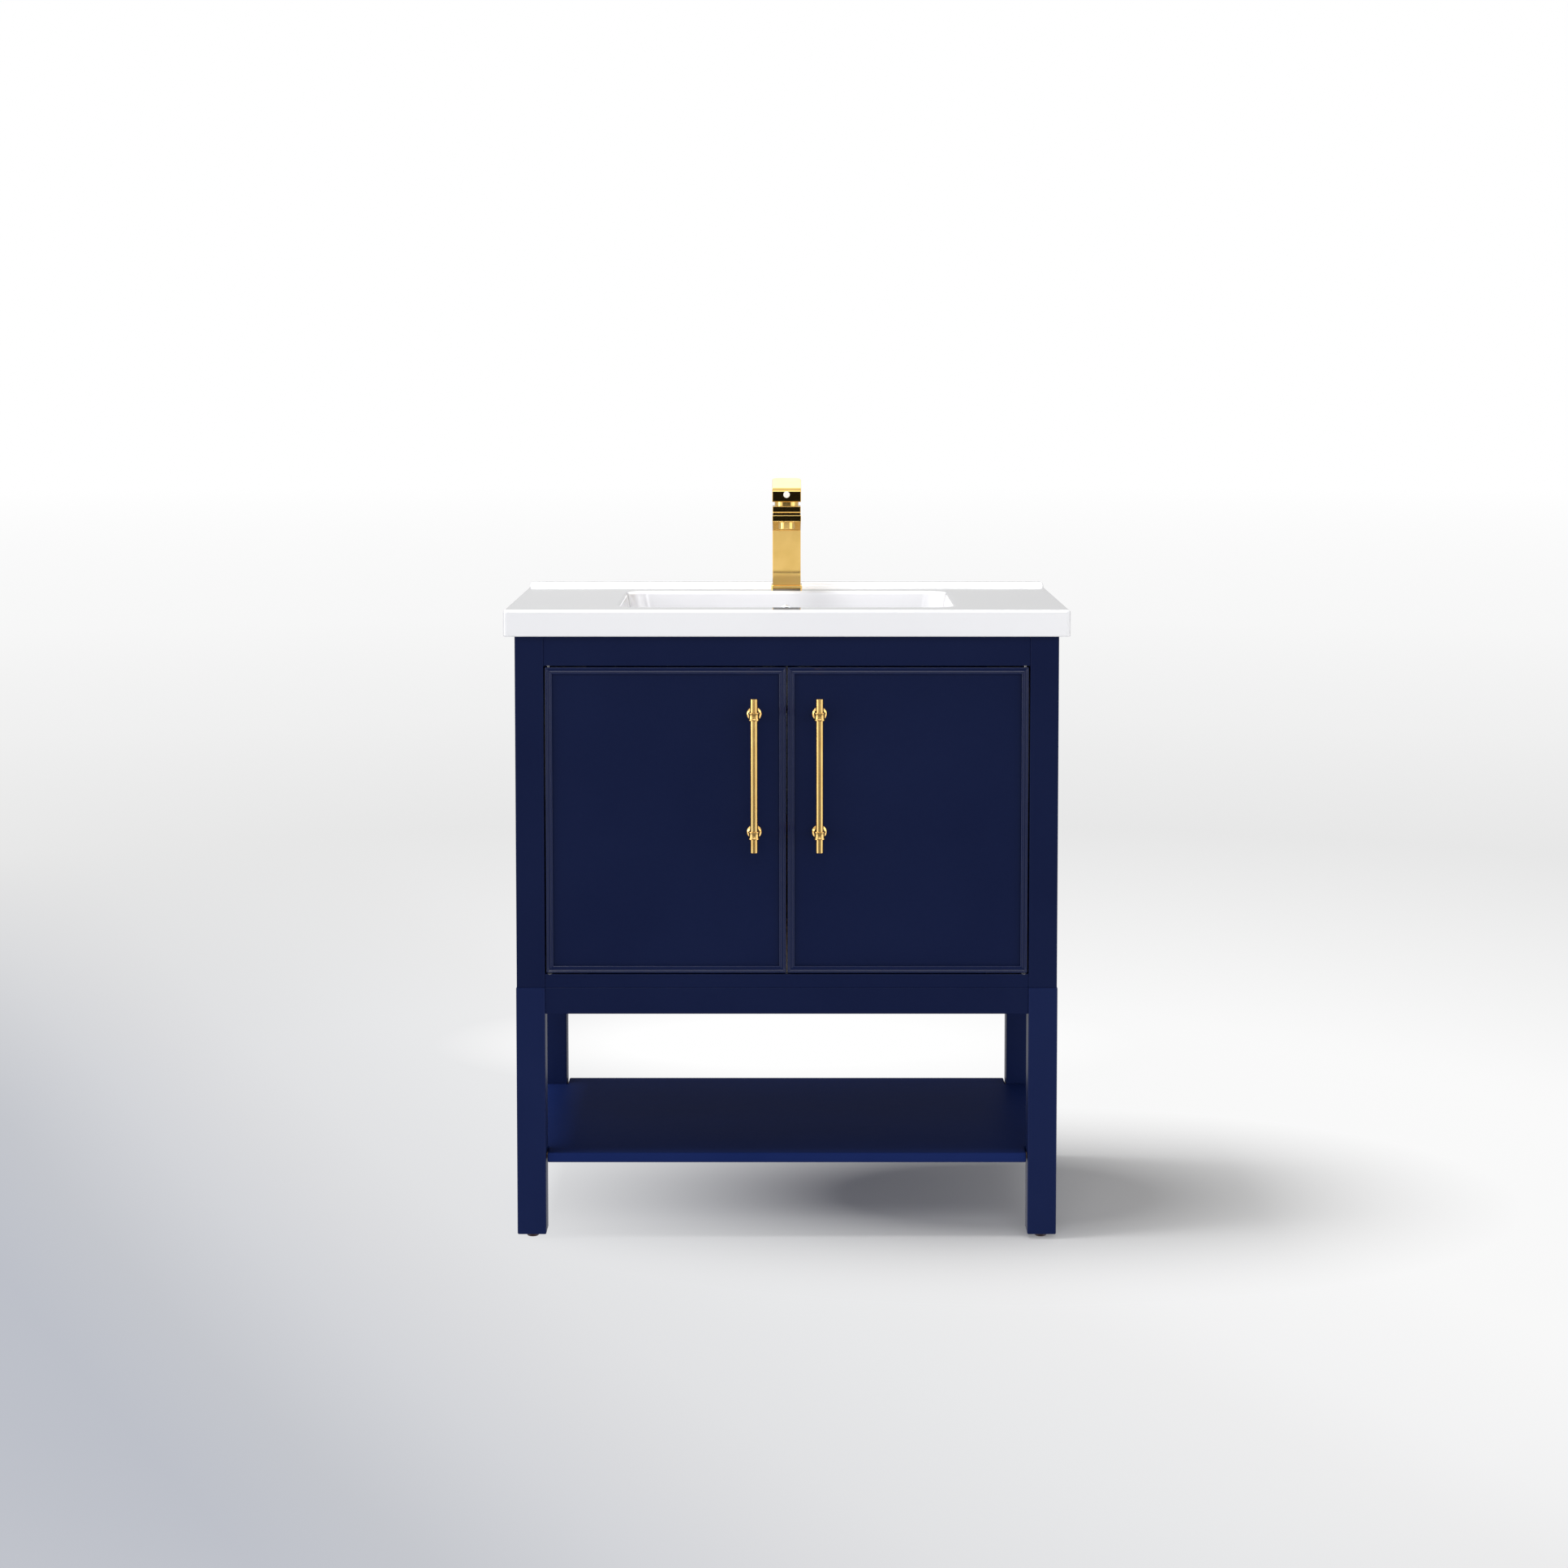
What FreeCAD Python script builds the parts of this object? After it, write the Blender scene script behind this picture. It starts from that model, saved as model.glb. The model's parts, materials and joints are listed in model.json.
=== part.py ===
import FreeCAD, Part
import math
import os

from FreeCAD import Vector

# Bathroom vanity: an open stand with four square legs and a plain shelf, a two-door box on
# top of it, a ceramic sink top, and a square single-lever faucet. Millimetres, +Z up, the front
# faces -Y, and the origin is under the middle of the whole depth, at floor level.

# ---------------------------------------------------------------- driving dimensions
sink_width = 762.0
sink_depth = 467.0
sink_edge = 36.0             # height of the sink's front edge
deck_z = 862.0               # top of the sink's deck above the floor
bar_reach = 36.0             # how far a pull's collars stand in front of the doors
sink_overhang = 12.0         # how far the sink stands in front of the doors
cabinet_depth = 452.0
opening_half = 328.0         # half the clear width between the posts
post = 38.5                  # square post of the upper box
leg = 39.3                   # square leg of the stand
leg_proud = 1.5              # how far the legs stand in front of the posts
foot_height = 6.5
foot_radius = 8.5
stand_top_z = 347.0
stand_rail = 36.0
shelf_top_z = 118.5
shelf_thick = 13.5
shelf_gap = 1.5              # clearance of the shelf's notches round the legs
top_rail = 40.5
bottom_rail = 18.5
rail_thick = 19.0
panel_thick = 15.0
side_set_back = 3.0
back_thick = 5.0
wall_rail = 80.0
door_gap = 2.0               # beside and between the doors
door_gap_z = 1.8             # above and below them
door_thick = 20.0
moulding_width = 9.5
moulding_height = 4.5
bar_radius = 5.2
collar_radius = 7.9          # of the collars that hold the bar
bar_length = 208.0
bar_offset = 44.0            # from the middle of the cabinet
bar_mid_z = 640.0
pull_spacing = 160.0
pivot_in = 6.5               # pivot axis, from the post's inner face
pivot_back = 5.0             # and from the front plane
pin_radius = 2.0
running = 0.05               # radial clearance of a pin in its bush
dowel_radius = 4.0
dowel_length = 32.0
lip_depth = 18.0
lip_height = 5.5
deck_thick = 14.0
skirt_thick = 14.0
bowl_half_x = 229.0
bowl_front = 50.0            # from the sink's front edge to the bowl's opening
bowl_back = 342.0
bowl_depth = 130.0
bowl_corner = 32.0
bowl_draft = 26.0
bowl_wall = 12.0
drain_hole = 22.5
overflow_radius = 11.0
overflow_drop = 31.0         # overflow centre below the deck
faucet_front = 375.0         # from the sink's front edge to the faucet's base plate
faucet_square = 41.0
base_square = 45.0
spout_reach = 112.0
wall_screw_radius = 3.0      # clearance hole of a wall screw
wall_screw_spacing = 406.4

# ---------------------------------------------------------------- places worked out from them
total_depth = bar_reach - sink_overhang + sink_depth
bar_front_y = -total_depth / 2
front_y = bar_front_y + bar_reach
sink_front_y = front_y - sink_overhang
sink_back_y = sink_front_y + sink_depth
back_y = front_y + cabinet_depth
post_out = opening_half + post
leg_out = opening_half + leg
leg_front_y = front_y - leg_proud
box_top_z = deck_z - sink_edge
door_low_z = stand_top_z + bottom_rail + door_gap_z
door_high_z = box_top_z - top_rail - door_gap_z
door_in = door_gap / 2
door_out = opening_half - door_gap
slab_y = front_y + moulding_height
door_back_y = front_y + door_thick
faucet_y = sink_front_y + faucet_front + base_square / 2
bowl_mid_y = sink_front_y + (bowl_front + bowl_back) / 2
bowl_floor_z = deck_z - bowl_depth
bar_y = bar_front_y + collar_radius

os.makedirs("parts", exist_ok=True)


def box(x0, x1, y0, y1, z0, z1):
    low_x = min(x0, x1)
    return Part.makeBox(abs(x1 - x0), y1 - y0, z1 - z0, Vector(low_x, y0, z0))


def rod(x, y, z, radius, length, axis=(0, 0, 1)):
    return Part.makeCylinder(radius, length, Vector(x, y, z), Vector(*axis))


def tube(x, y, z, outer, inner, length, axis=(0, 0, 1)):
    return rod(x, y, z, outer, length, axis).cut(rod(x, y, z, inner, length, axis))


def join(shapes):
    body = shapes[0]
    if len(shapes) > 1:
        body = body.fuse(shapes[1:])
    return body.removeSplitter()


def group(shapes):
    return Part.makeCompound(shapes)


def save(name, shape):
    solids = shape.Solids
    whole = solids[0] if len(solids) == 1 else group(solids)
    whole.exportStep("parts/" + name + ".step")
    print(name, len(solids), "solids, valid", whole.isValid(), "volume", round(whole.Volume))


def soften(shape, radius, wanted):
    """Rounds the straight edges that `wanted` picks by their two end points."""
    picked = []
    for edge in shape.Edges:
        if len(edge.Vertexes) == 2 and wanted(edge.Vertexes[0].Point, edge.Vertexes[1].Point):
            picked.append(edge)
    return shape.makeFillet(radius, picked)


def upright(a, b):
    return abs(a.x - b.x) < 0.01 and abs(a.y - b.y) < 0.01


def mirrored(shape):
    return shape.mirror(Vector(0, 0, 0), Vector(1, 0, 0))


def both_sides(name, shape_on_right):
    save(name + "_right", shape_on_right)
    save(name + "_left", mirrored(shape_on_right))


def on_both_sides(shapes_on_right):
    return group(shapes_on_right + [mirrored(shape) for shape in shapes_on_right])


def rounded_rect(half_x, y0, y1, z, radius):
    """A closed wire: a rectangle with rounded corners, lying flat at height z."""
    x0, x1 = -half_x, half_x
    bend = radius * (1 - math.sqrt(0.5))
    corners = (
        (Vector(x1, y1 - radius, z), Vector(x1 - bend, y1 - bend, z), Vector(x1 - radius, y1, z)),
        (Vector(x0 + radius, y1, z), Vector(x0 + bend, y1 - bend, z), Vector(x0, y1 - radius, z)),
        (Vector(x0, y0 + radius, z), Vector(x0 + bend, y0 + bend, z), Vector(x0 + radius, y0, z)),
        (Vector(x1 - radius, y0, z), Vector(x1 - bend, y0 + bend, z), Vector(x1, y0 + radius, z)),
    )
    edges = []
    for number, (start, middle, end) in enumerate(corners):
        before = corners[number - 1][2]
        edges.append(Part.LineSegment(before, start).toShape())
        edges.append(Part.Arc(start, middle, end).toShape())
    return Part.Wire(edges)


def turned(points, centre, axis="z"):
    """A solid of revolution: points are (radius, height) pairs round the axis through centre."""
    wire = Part.makePolygon([Vector(r, 0, h) for r, h in points + points[:1]])
    solid = Part.Face(wire).revolve(Vector(0, 0, 0), Vector(0, 0, 1), 360)
    if axis == "front":
        solid.rotate(Vector(0, 0, 0), Vector(1, 0, 0), 90)
    solid.translate(Vector(*centre))
    return solid


# ---------------------------------------------------------------- dowels and screws of the frame
def cross_dowels():
    """Dowels along X: rail ends into posts and legs, and shelf into legs."""
    start = opening_half - dowel_length / 2
    spots = []
    for z in (box_top_z - 12.0, box_top_z - top_rail + 12.0):
        spots.append((front_y + 1 + rail_thick / 2, z))
    spots.append((front_y + 1 + rail_thick / 2, stand_top_z + bottom_rail / 2))
    for z in (box_top_z - 20.0, box_top_z - wall_rail + 20.0):
        spots.append((back_y - rail_thick / 2, z))
    for y in (leg_front_y + 2 + rail_thick / 2, back_y - rail_thick / 2):
        spots.append((y, stand_top_z - 10.0))
        spots.append((y, stand_top_z - stand_rail + 10.0))
    for y in (leg_front_y + leg / 2, back_y - leg / 2):
        spots.append((y, shelf_top_z - shelf_thick / 2))
    rods = []
    for side in (-1, 1):
        for y, z in spots:
            x = start if side > 0 else -start - dowel_length
            rods.append(rod(x, y, z, dowel_radius, dowel_length, (1, 0, 0)))
    return rods


def deep_dowels():
    """Dowels along Y: side rails of the stand into legs, and side panels into posts."""
    half = dowel_length / 2
    panel_x = post_out - side_set_back - panel_thick / 2
    rail_x = leg_out - 2 - rail_thick / 2
    rods = []
    for side in (-1, 1):
        for y in (leg_front_y + leg, back_y - leg):
            for z in (stand_top_z - 10.0, stand_top_z - stand_rail + 10.0):
                rods.append(rod(side * rail_x, y - half, z, dowel_radius, dowel_length, (0, 1, 0)))
        for y in (front_y + post, back_y - post):
            for z in (stand_top_z + 40.0, (stand_top_z + box_top_z) / 2, box_top_z - 40.0):
                rods.append(rod(side * panel_x, y - half, z, dowel_radius, dowel_length, (0, 1, 0)))
    return rods


dowels = group(cross_dowels() + deep_dowels())


stand_rail_low = stand_top_z - stand_rail
screw_sink = 5.0             # how deep the stand screws' heads lie in the rails


def stand_screw(x, y):
    head = rod(x, y, stand_rail_low + screw_sink, 4.0, 3.0)
    return join([head, rod(x, y, stand_rail_low + screw_sink + 3, 2.0, 42.0)])


stand_screw_spots = []
for screw_x in (-200.0, 0.0, 200.0):
    stand_screw_spots.append((screw_x, leg_front_y + 2 + rail_thick / 2))
    stand_screw_spots.append((screw_x, back_y - rail_thick / 2))
stand_screws = group([stand_screw(x, y) for x, y in stand_screw_spots])
screw_mouths = group([rod(x, y, stand_rail_low - 1, 4.5, screw_sink + 1) for x, y in stand_screw_spots])


# ---------------------------------------------------------------- stand
def square_post(x0, y0, size, z0, z1, radius):
    block = box(x0, x0 + size, y0, y0 + size, z0, z1)
    return soften(block, radius, upright)


def make_legs():
    for place, y in (("front", leg_front_y), ("back", back_y - leg)):
        body = square_post(opening_half, y, leg, foot_height, stand_top_z, 2.0)
        body = body.cut(rod(opening_half + leg / 2, y + leg / 2, foot_height, 2.5, 14.0))
        both_sides("leg_" + place, body.cut(dowels))


def make_feet():
    outline = [(0, 0), (foot_radius - 1.5, 0), (foot_radius, 1.5), (foot_radius, foot_height)]
    outline += [(2.5, foot_height), (2.5, foot_height + 14), (0, foot_height + 14)]
    feet = []
    for x in (-opening_half - leg / 2, opening_half + leg / 2):
        for y in (leg_front_y + leg / 2, back_y - leg / 2):
            feet.append(turned(outline, (x, y, 0)))
    save("foot_glides", group(feet))


def make_stand_rails():
    cuts = [dowels, stand_screws, screw_mouths]
    for place, y in (("front", leg_front_y + 2), ("back", back_y - rail_thick)):
        rail = box(-opening_half, opening_half, y, y + rail_thick, stand_rail_low, stand_top_z)
        save("stand_" + place + "_rail", rail.cut(cuts))
    outer = leg_out - 2
    side_rail = box(outer - rail_thick, outer, leg_front_y + leg, back_y - leg, stand_rail_low, stand_top_z)
    both_sides("stand_rail", side_rail.cut(dowels))


def make_shelf():
    half = leg_out - 2
    low = shelf_top_z - shelf_thick
    board = box(-half, half, leg_front_y + 5, back_y - 2, low, shelf_top_z)
    for side in (-1, 1):
        x0 = side * (opening_half - shelf_gap)
        x1 = side * (leg_out + 10)
        for y0, y1 in ((leg_front_y - 10, leg_front_y + leg), (back_y - leg, back_y + 10)):
            board = board.cut(box(x0, x1, y0 - shelf_gap, y1 + shelf_gap, low - 1, shelf_top_z + 1))
    save("lower_shelf", board.cut(dowels))


# ---------------------------------------------------------------- upper box
def make_posts():
    for place, y in (("front", front_y), ("back", back_y - post)):
        body = square_post(opening_half, y, post, stand_top_z, box_top_z, 1.2)
        both_sides("post_" + place, body.cut(dowels))


def make_front_rails(hinge_cut):
    y0 = front_y + 1
    upper = box(-opening_half, opening_half, y0, y0 + rail_thick, box_top_z - top_rail, box_top_z)
    lower = box(-opening_half, opening_half, y0, y0 + rail_thick, stand_top_z, stand_top_z + bottom_rail)
    save("front_top_rail", upper.cut([dowels, hinge_cut]))
    save("front_bottom_rail", lower.cut([dowels, hinge_cut, stand_screws]))


def make_back():
    low = box_top_z - wall_rail
    rail = box(-opening_half, opening_half, back_y - rail_thick, back_y, low, box_top_z)
    holes = []
    for side in (-1, 1):
        x = side * wall_screw_spacing / 2
        hole_y = back_y - rail_thick - 1
        holes.append(rod(x, hole_y, low + wall_rail / 2, wall_screw_radius, rail_thick + 2, (0, 1, 0)))
    save("wall_rail", rail.cut([dowels] + holes))
    floor_z = stand_top_z + bottom_rail
    sheet = box(-opening_half, opening_half, back_y - 12, back_y - 12 + back_thick, floor_z, low)
    window = box(-160, 160, back_y - 30, back_y + 10, floor_z + 190, floor_z + 340)
    save("back_panel", sheet.cut(window))
    sill = box(-opening_half, opening_half, back_y - rail_thick, back_y, stand_top_z, floor_z)
    save("back_bottom_rail", sill.cut(stand_screws))


def make_sides():
    outer = post_out - side_set_back
    panel = box(outer - panel_thick, outer, front_y + post, back_y - post, stand_top_z, box_top_z)
    both_sides("side_panel", panel.cut(dowels))


def make_floor():
    inner = post_out - side_set_back - panel_thick
    z1 = stand_top_z + bottom_rail
    board = box(-inner, inner, front_y + 1 + rail_thick, back_y - rail_thick, z1 - panel_thick, z1)
    for side in (-1, 1):
        for y0, y1 in ((front_y, front_y + post), (back_y - post, back_y)):
            notch = box(side * opening_half, side * (post_out + 5), y0, y1, stand_top_z - 5, z1 + 5)
            board = board.cut(notch)
    save("cabinet_floor", board)


# ---------------------------------------------------------------- hinges and catches
leaf_thick = 2.0
leaf_end = 58.0
leaf_wide = 10.0
nose = 4.0
pivot_x = opening_half - pivot_in
pivot_y = front_y + pivot_back
leaf_screw_spots = (24.0, 46.0)


def leaf_plate(z):
    """A pivot hinge's leaf on the right door: a round nose on the pivot and a straight tongue."""
    plate = box(opening_half - leaf_end, pivot_x, pivot_y, pivot_y + leaf_wide, z, z + leaf_thick)
    return join([plate, rod(pivot_x, pivot_y, z, nose, leaf_thick)])


def leaf_screws(z, up):
    """Countersunk screws through a leaf whose visible face is at z, driven up or down."""
    screws = []
    for spot in leaf_screw_spots:
        outline = [(0, 0), (2.6, 0), (1.4, 1.4), (1.4, 13), (0, 14)]
        if not up:
            outline = [(r, -h) for r, h in outline]
        screws.append(turned(outline, (opening_half - spot, pivot_y + leaf_wide / 2, z)))
    return screws


def make_hinges():
    top_face = box_top_z - top_rail
    bottom_face = stand_top_z + bottom_rail
    frame_screws = leaf_screws(top_face, True) + leaf_screws(bottom_face, False)
    frame_plates = [leaf_plate(top_face), leaf_plate(bottom_face - leaf_thick)]
    bush = rod(pivot_x, pivot_y, stand_top_z, pin_radius + running, box_top_z - stand_top_z)
    save("hinge_frame_leaves", on_both_sides([plate.cut([bush] + frame_screws) for plate in frame_plates]))
    save("hinge_frame_screws", on_both_sides(frame_screws))
    washer = tube(pivot_x, pivot_y, bottom_face, nose, pin_radius + 0.1, door_gap_z - 0.1)
    save("hinge_washers", on_both_sides([washer]))

    door_screws = leaf_screws(door_high_z, False) + leaf_screws(door_low_z, True)
    pin_length = door_gap_z + leaf_thick - 0.2
    door_plates = [leaf_plate(door_high_z - leaf_thick), leaf_plate(door_low_z)]
    leaves = []
    for plate, pin_z in zip(door_plates, (door_high_z, door_low_z - pin_length)):
        leaf = join([plate, rod(pivot_x, pivot_y, pin_z, pin_radius, pin_length)])
        leaves.append(leaf.cut(door_screws))
    both_sides("hinge_door_leaves", group(leaves))
    return on_both_sides(frame_plates + frame_screws), door_plates, door_screws


catch_half = 9.0
catch_x = 24.0
catch_low_z = box_top_z - top_rail - 15.0


def make_catches():
    """A block behind the top rail, with a magnetic catch under it for each door."""
    block_z = box_top_z - top_rail
    block = box(-46, 46, door_back_y, door_back_y + 12, block_z, block_z + 20)
    save("catch_block", block)
    shells = []
    for side in (-1, 1):
        x = side * catch_x
        y = door_back_y + 1.3
        shells.append(box(x - catch_half, x + catch_half, y, door_back_y + 15, catch_low_z, block_z))
    save("door_catches", group(shells))


# ---------------------------------------------------------------- doors and pulls
def moulding_profile():
    """The strip's section: x is in from the door's edge, y is out from the slab's face."""
    def p(inwards, out):
        return Vector(inwards, out, 0)

    top = moulding_height
    edges = [
        Part.LineSegment(p(0, 0), p(0, top - 1.3)).toShape(),
        Part.Arc(p(0, top - 1.3), p(1.2, top), p(2.4, top - 1.1)).toShape(),
        Part.Arc(p(2.4, top - 1.1), p(4.5, top - 2.1), p(6.7, top - 1.4)).toShape(),
        Part.Arc(p(6.7, top - 1.4), p(8.1, top - 0.5), p(moulding_width, top - 1.9)).toShape(),
        Part.LineSegment(p(moulding_width, top - 1.9), p(moulding_width, 0)).toShape(),
        Part.LineSegment(p(moulding_width, 0), p(0, 0)).toShape(),
    ]
    return Part.Face(Part.Wire(edges))


def moulding_strip(length):
    """A mitred strip along +X from 0 to length; the door's edge is at z = 0 and +Z is inwards."""
    section = moulding_profile()
    section.rotate(Vector(0, 0, 0), Vector(0, 1, 0), -90)
    strip = section.extrude(Vector(length, 0, 0))
    w = moulding_width + 1
    corners = [Vector(-1, 0, -1), Vector(length + 1, 0, -1), Vector(length - w, 0, w), Vector(w, 0, w)]
    fence = Part.Face(Part.makePolygon(corners + corners[:1]))
    fence = fence.extrude(Vector(0, moulding_height + 2, 0))
    fence.translate(Vector(0, -1, 0))
    return strip.common(fence)


def make_moulding(width, height):
    """Four strips round a door whose lower left corner is at the origin, standing out along -Y."""
    strips = []
    middle = Vector(width / 2, 0, height / 2)
    for number, length in enumerate((width, height, width, height)):
        strip = moulding_strip(length)
        strip.translate(Vector(-length / 2, 0, -(width if number % 2 else height) / 2))
        strip.rotate(Vector(0, 0, 0), Vector(0, 1, 0), 90 * number)
        strip.translate(middle)
        strips.append(strip.mirror(Vector(0, 0, 0), Vector(0, 1, 0)))
    return strips


def pull_screw(z):
    head = rod(bar_offset, door_back_y, z, 4.0, 2.4, (0, 1, 0))
    return join([head, rod(bar_offset, front_y - 8, z, 2.0, door_back_y - front_y + 8, (0, 1, 0))])


def make_doors(leaves, leaf_screws_here):
    width = door_out - door_in
    height = door_high_z - door_low_z
    pull_z = (bar_mid_z - pull_spacing / 2, bar_mid_z + pull_spacing / 2)
    screws = [pull_screw(z) for z in pull_z]
    slab = box(door_in, door_out, slab_y, door_back_y, door_low_z, door_high_z)
    both_sides("door_panel", slab.cut(leaves + leaf_screws_here + screws))
    strips = []
    for strip in make_moulding(width, height):
        strip.translate(Vector(door_in, slab_y, door_low_z))
        strips.append(strip.cut(leaves + leaf_screws_here))
    both_sides("door_moulding", group(strips))
    strike = box(catch_x - 8, catch_x + 8, door_back_y, door_back_y + 1, catch_low_z + 2, catch_low_z + 12)
    both_sides("door_fittings", group(leaf_screws_here + screws + [strike]))

    bar = rod(bar_offset, bar_y, bar_mid_z - bar_length / 2, bar_radius, bar_length)
    bar = bar.makeChamfer(0.8, [edge for edge in bar.Edges if edge.Curve.TypeId == "Part::GeomCircle"])
    both_sides("pull_bar", bar)
    posts = []
    for z in pull_z:
        stem = slab_y - bar_y
        flare = [(0, 0), (9.8, 0), (9.8, 1.6), (5.6, 6.5), (5.0, 9), (5.0, stem - 4), (0, stem - 4)]
        flare = turned(flare, (bar_offset, slab_y, z), "front")
        rim, waist = collar_radius, collar_radius - 1.0
        half_spool = [(rim, 5.3), (rim, 3.9), (waist, 2.4)]
        spool = [(0, 5.3)] + half_spool + [(r, -h) for r, h in reversed(half_spool)] + [(0, -5.3)]
        spool = turned(spool, (bar_offset, bar_y, z))
        posts.append(join([flare, spool]).cut([bar] + screws))
    both_sides("pull_posts", group(posts))


# ---------------------------------------------------------------- sink
def bowl_shape(grow, floor_z, top_z):
    """The bowl as a solid: grow is 0 inside the ceramic and its wall's thickness outside."""
    y0 = sink_front_y + bowl_front - grow
    y1 = sink_front_y + bowl_back + grow
    half = bowl_half_x + grow
    rim = rounded_rect(half, y0, y1, top_z, bowl_corner + grow)
    foot = rounded_rect(half - bowl_draft, y0 + bowl_draft, y1 - bowl_draft, floor_z, bowl_corner + grow)
    solid = Part.makeLoft([rim, foot], True, True)
    lower = []
    for edge in solid.Edges:
        if all(abs(vertex.Z - floor_z) < 0.01 for vertex in edge.Vertexes):
            lower.append(edge)
    return solid.makeFillet(22.0 + grow, lower)


def make_sink():
    """The ceramic in two nodes that meet face to face: deck and skirt, and the bowl below them."""
    half = sink_width / 2
    slab = box(-half, half, sink_front_y, sink_back_y, box_top_z, deck_z)
    slab = soften(slab, 5.0, upright)
    lip = box(-half, half, sink_back_y - lip_depth, sink_back_y, deck_z - 10, deck_z + lip_height)
    lip = soften(lip, 5.0, lambda a, b: upright(a, b) and a.y > sink_back_y - 1)
    body = slab.fuse(lip).removeSplitter()

    def on_border(a, b):
        flat = abs(a.z - b.z) < 0.01 and abs(a.z - deck_z) < 0.01
        return flat and abs(a.y - b.y) < 0.01 and a.y < sink_front_y + 1

    body = soften(body, 5.0, on_border)
    under_z = deck_z - deck_thick
    inner = half - skirt_thick
    y0 = sink_front_y + skirt_thick
    hollow = box(-inner, inner, y0, sink_back_y - skirt_thick, box_top_z - 1, under_z)
    inside = bowl_shape(0, bowl_floor_z, deck_z + 0.01)
    faucet_hole = rod(0, faucet_y, under_z - 1, 17.5, deck_thick + 2)
    save("sink_top", body.cut([hollow, inside, faucet_hole]).removeSplitter())

    wall_y = sink_front_y + bowl_back
    channel = box(-20, 20, wall_y - 20, wall_y + bowl_wall + 10, bowl_floor_z + 20, under_z)
    above = box(-half, half, sink_front_y, sink_back_y, under_z, deck_z + 1)
    bowl = bowl_shape(bowl_wall, bowl_floor_z - bowl_wall, deck_z).fuse(channel)
    drain = rod(0, bowl_mid_y, bowl_floor_z - 20, drain_hole, 30)
    overflow = leant(rod(0, 0, -20, 8.0, 40))
    save("sink_bowl", bowl.cut([inside, above, drain, overflow]).removeSplitter())


def leant(shape):
    """Turns a shape that points up to stand square on the bowl's back wall, at the overflow."""
    slope = bowl_draft / bowl_depth
    shape.rotate(Vector(0, 0, 0), Vector(1, 0, 0), 90 - math.degrees(math.atan(slope)))
    y = sink_front_y + bowl_back - overflow_drop * slope
    shape.translate(Vector(0, y, deck_z - overflow_drop))
    return shape


def make_overflow():
    sleeve = [(6.5, -9), (7.95, -9), (7.95, 0.02), (overflow_radius, 0.02)]
    sleeve += [(overflow_radius - 0.6, 1.4), (7.0, 1.8), (6.5, 1.2)]
    save("overflow_ring", leant(turned(sleeve, (0, 0, 0))))


def make_drain():
    y = bowl_mid_y
    z = bowl_floor_z
    outline = [(17.5, 2.5), (31, 2.5), (32, 1.2), (32, 0), (21.5, 0), (21.5, -44), (17.5, -44)]
    flange = turned(outline, (0, y, z))
    hub = tube(0, y, z - 30, 7.0, 4.0 + running, 7)
    rib = box(-17.6, 17.6, y - 1.5, y + 1.5, z - 30, z - 23).cut(rod(0, y, z - 31, 6.9, 9))
    save("drain_flange", join([flange, hub, rib]))
    save("drain_gasket", tube(0, y, z - bowl_wall - 4, 31, 21.5, 4))
    nut = tube(0, y, z - bowl_wall - 16, 29, 21.5, 12)
    save("drain_nut", nut)
    cap = [(0, 2.9), (20.0, 2.9), (26.0, 4.0), (27.0, 5.2), (24.0, 7.0), (0, 8.2)]
    stopper = turned(cap, (0, y, z))
    save("drain_stopper", join([stopper, rod(0, y, z - 36, 4.0, 40)]))
    tail = [(14.4, -172), (15.875, -172), (15.875, -44), (17.5, -44), (17.5, -33), (14.4, -33)]
    save("drain_tail", turned(tail, (0, y, z)))


# ---------------------------------------------------------------- faucet
stem_top = 127.3
pivot_up = 132.0             # handle's tilt axis above the deck
pivot_rear = 12.0            # and behind the faucet's middle
handle_width = 42.0


def from_side(points, width):
    """A block with the given (y, z) outline, centred on x = 0, placed from the faucet's middle."""
    wire = Part.makePolygon([Vector(0, faucet_y + y, deck_z + z) for y, z in points + points[:1]])
    block = Part.Face(wire).extrude(Vector(width, 0, 0))
    block.translate(Vector(-width / 2, 0, 0))
    return block


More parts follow.
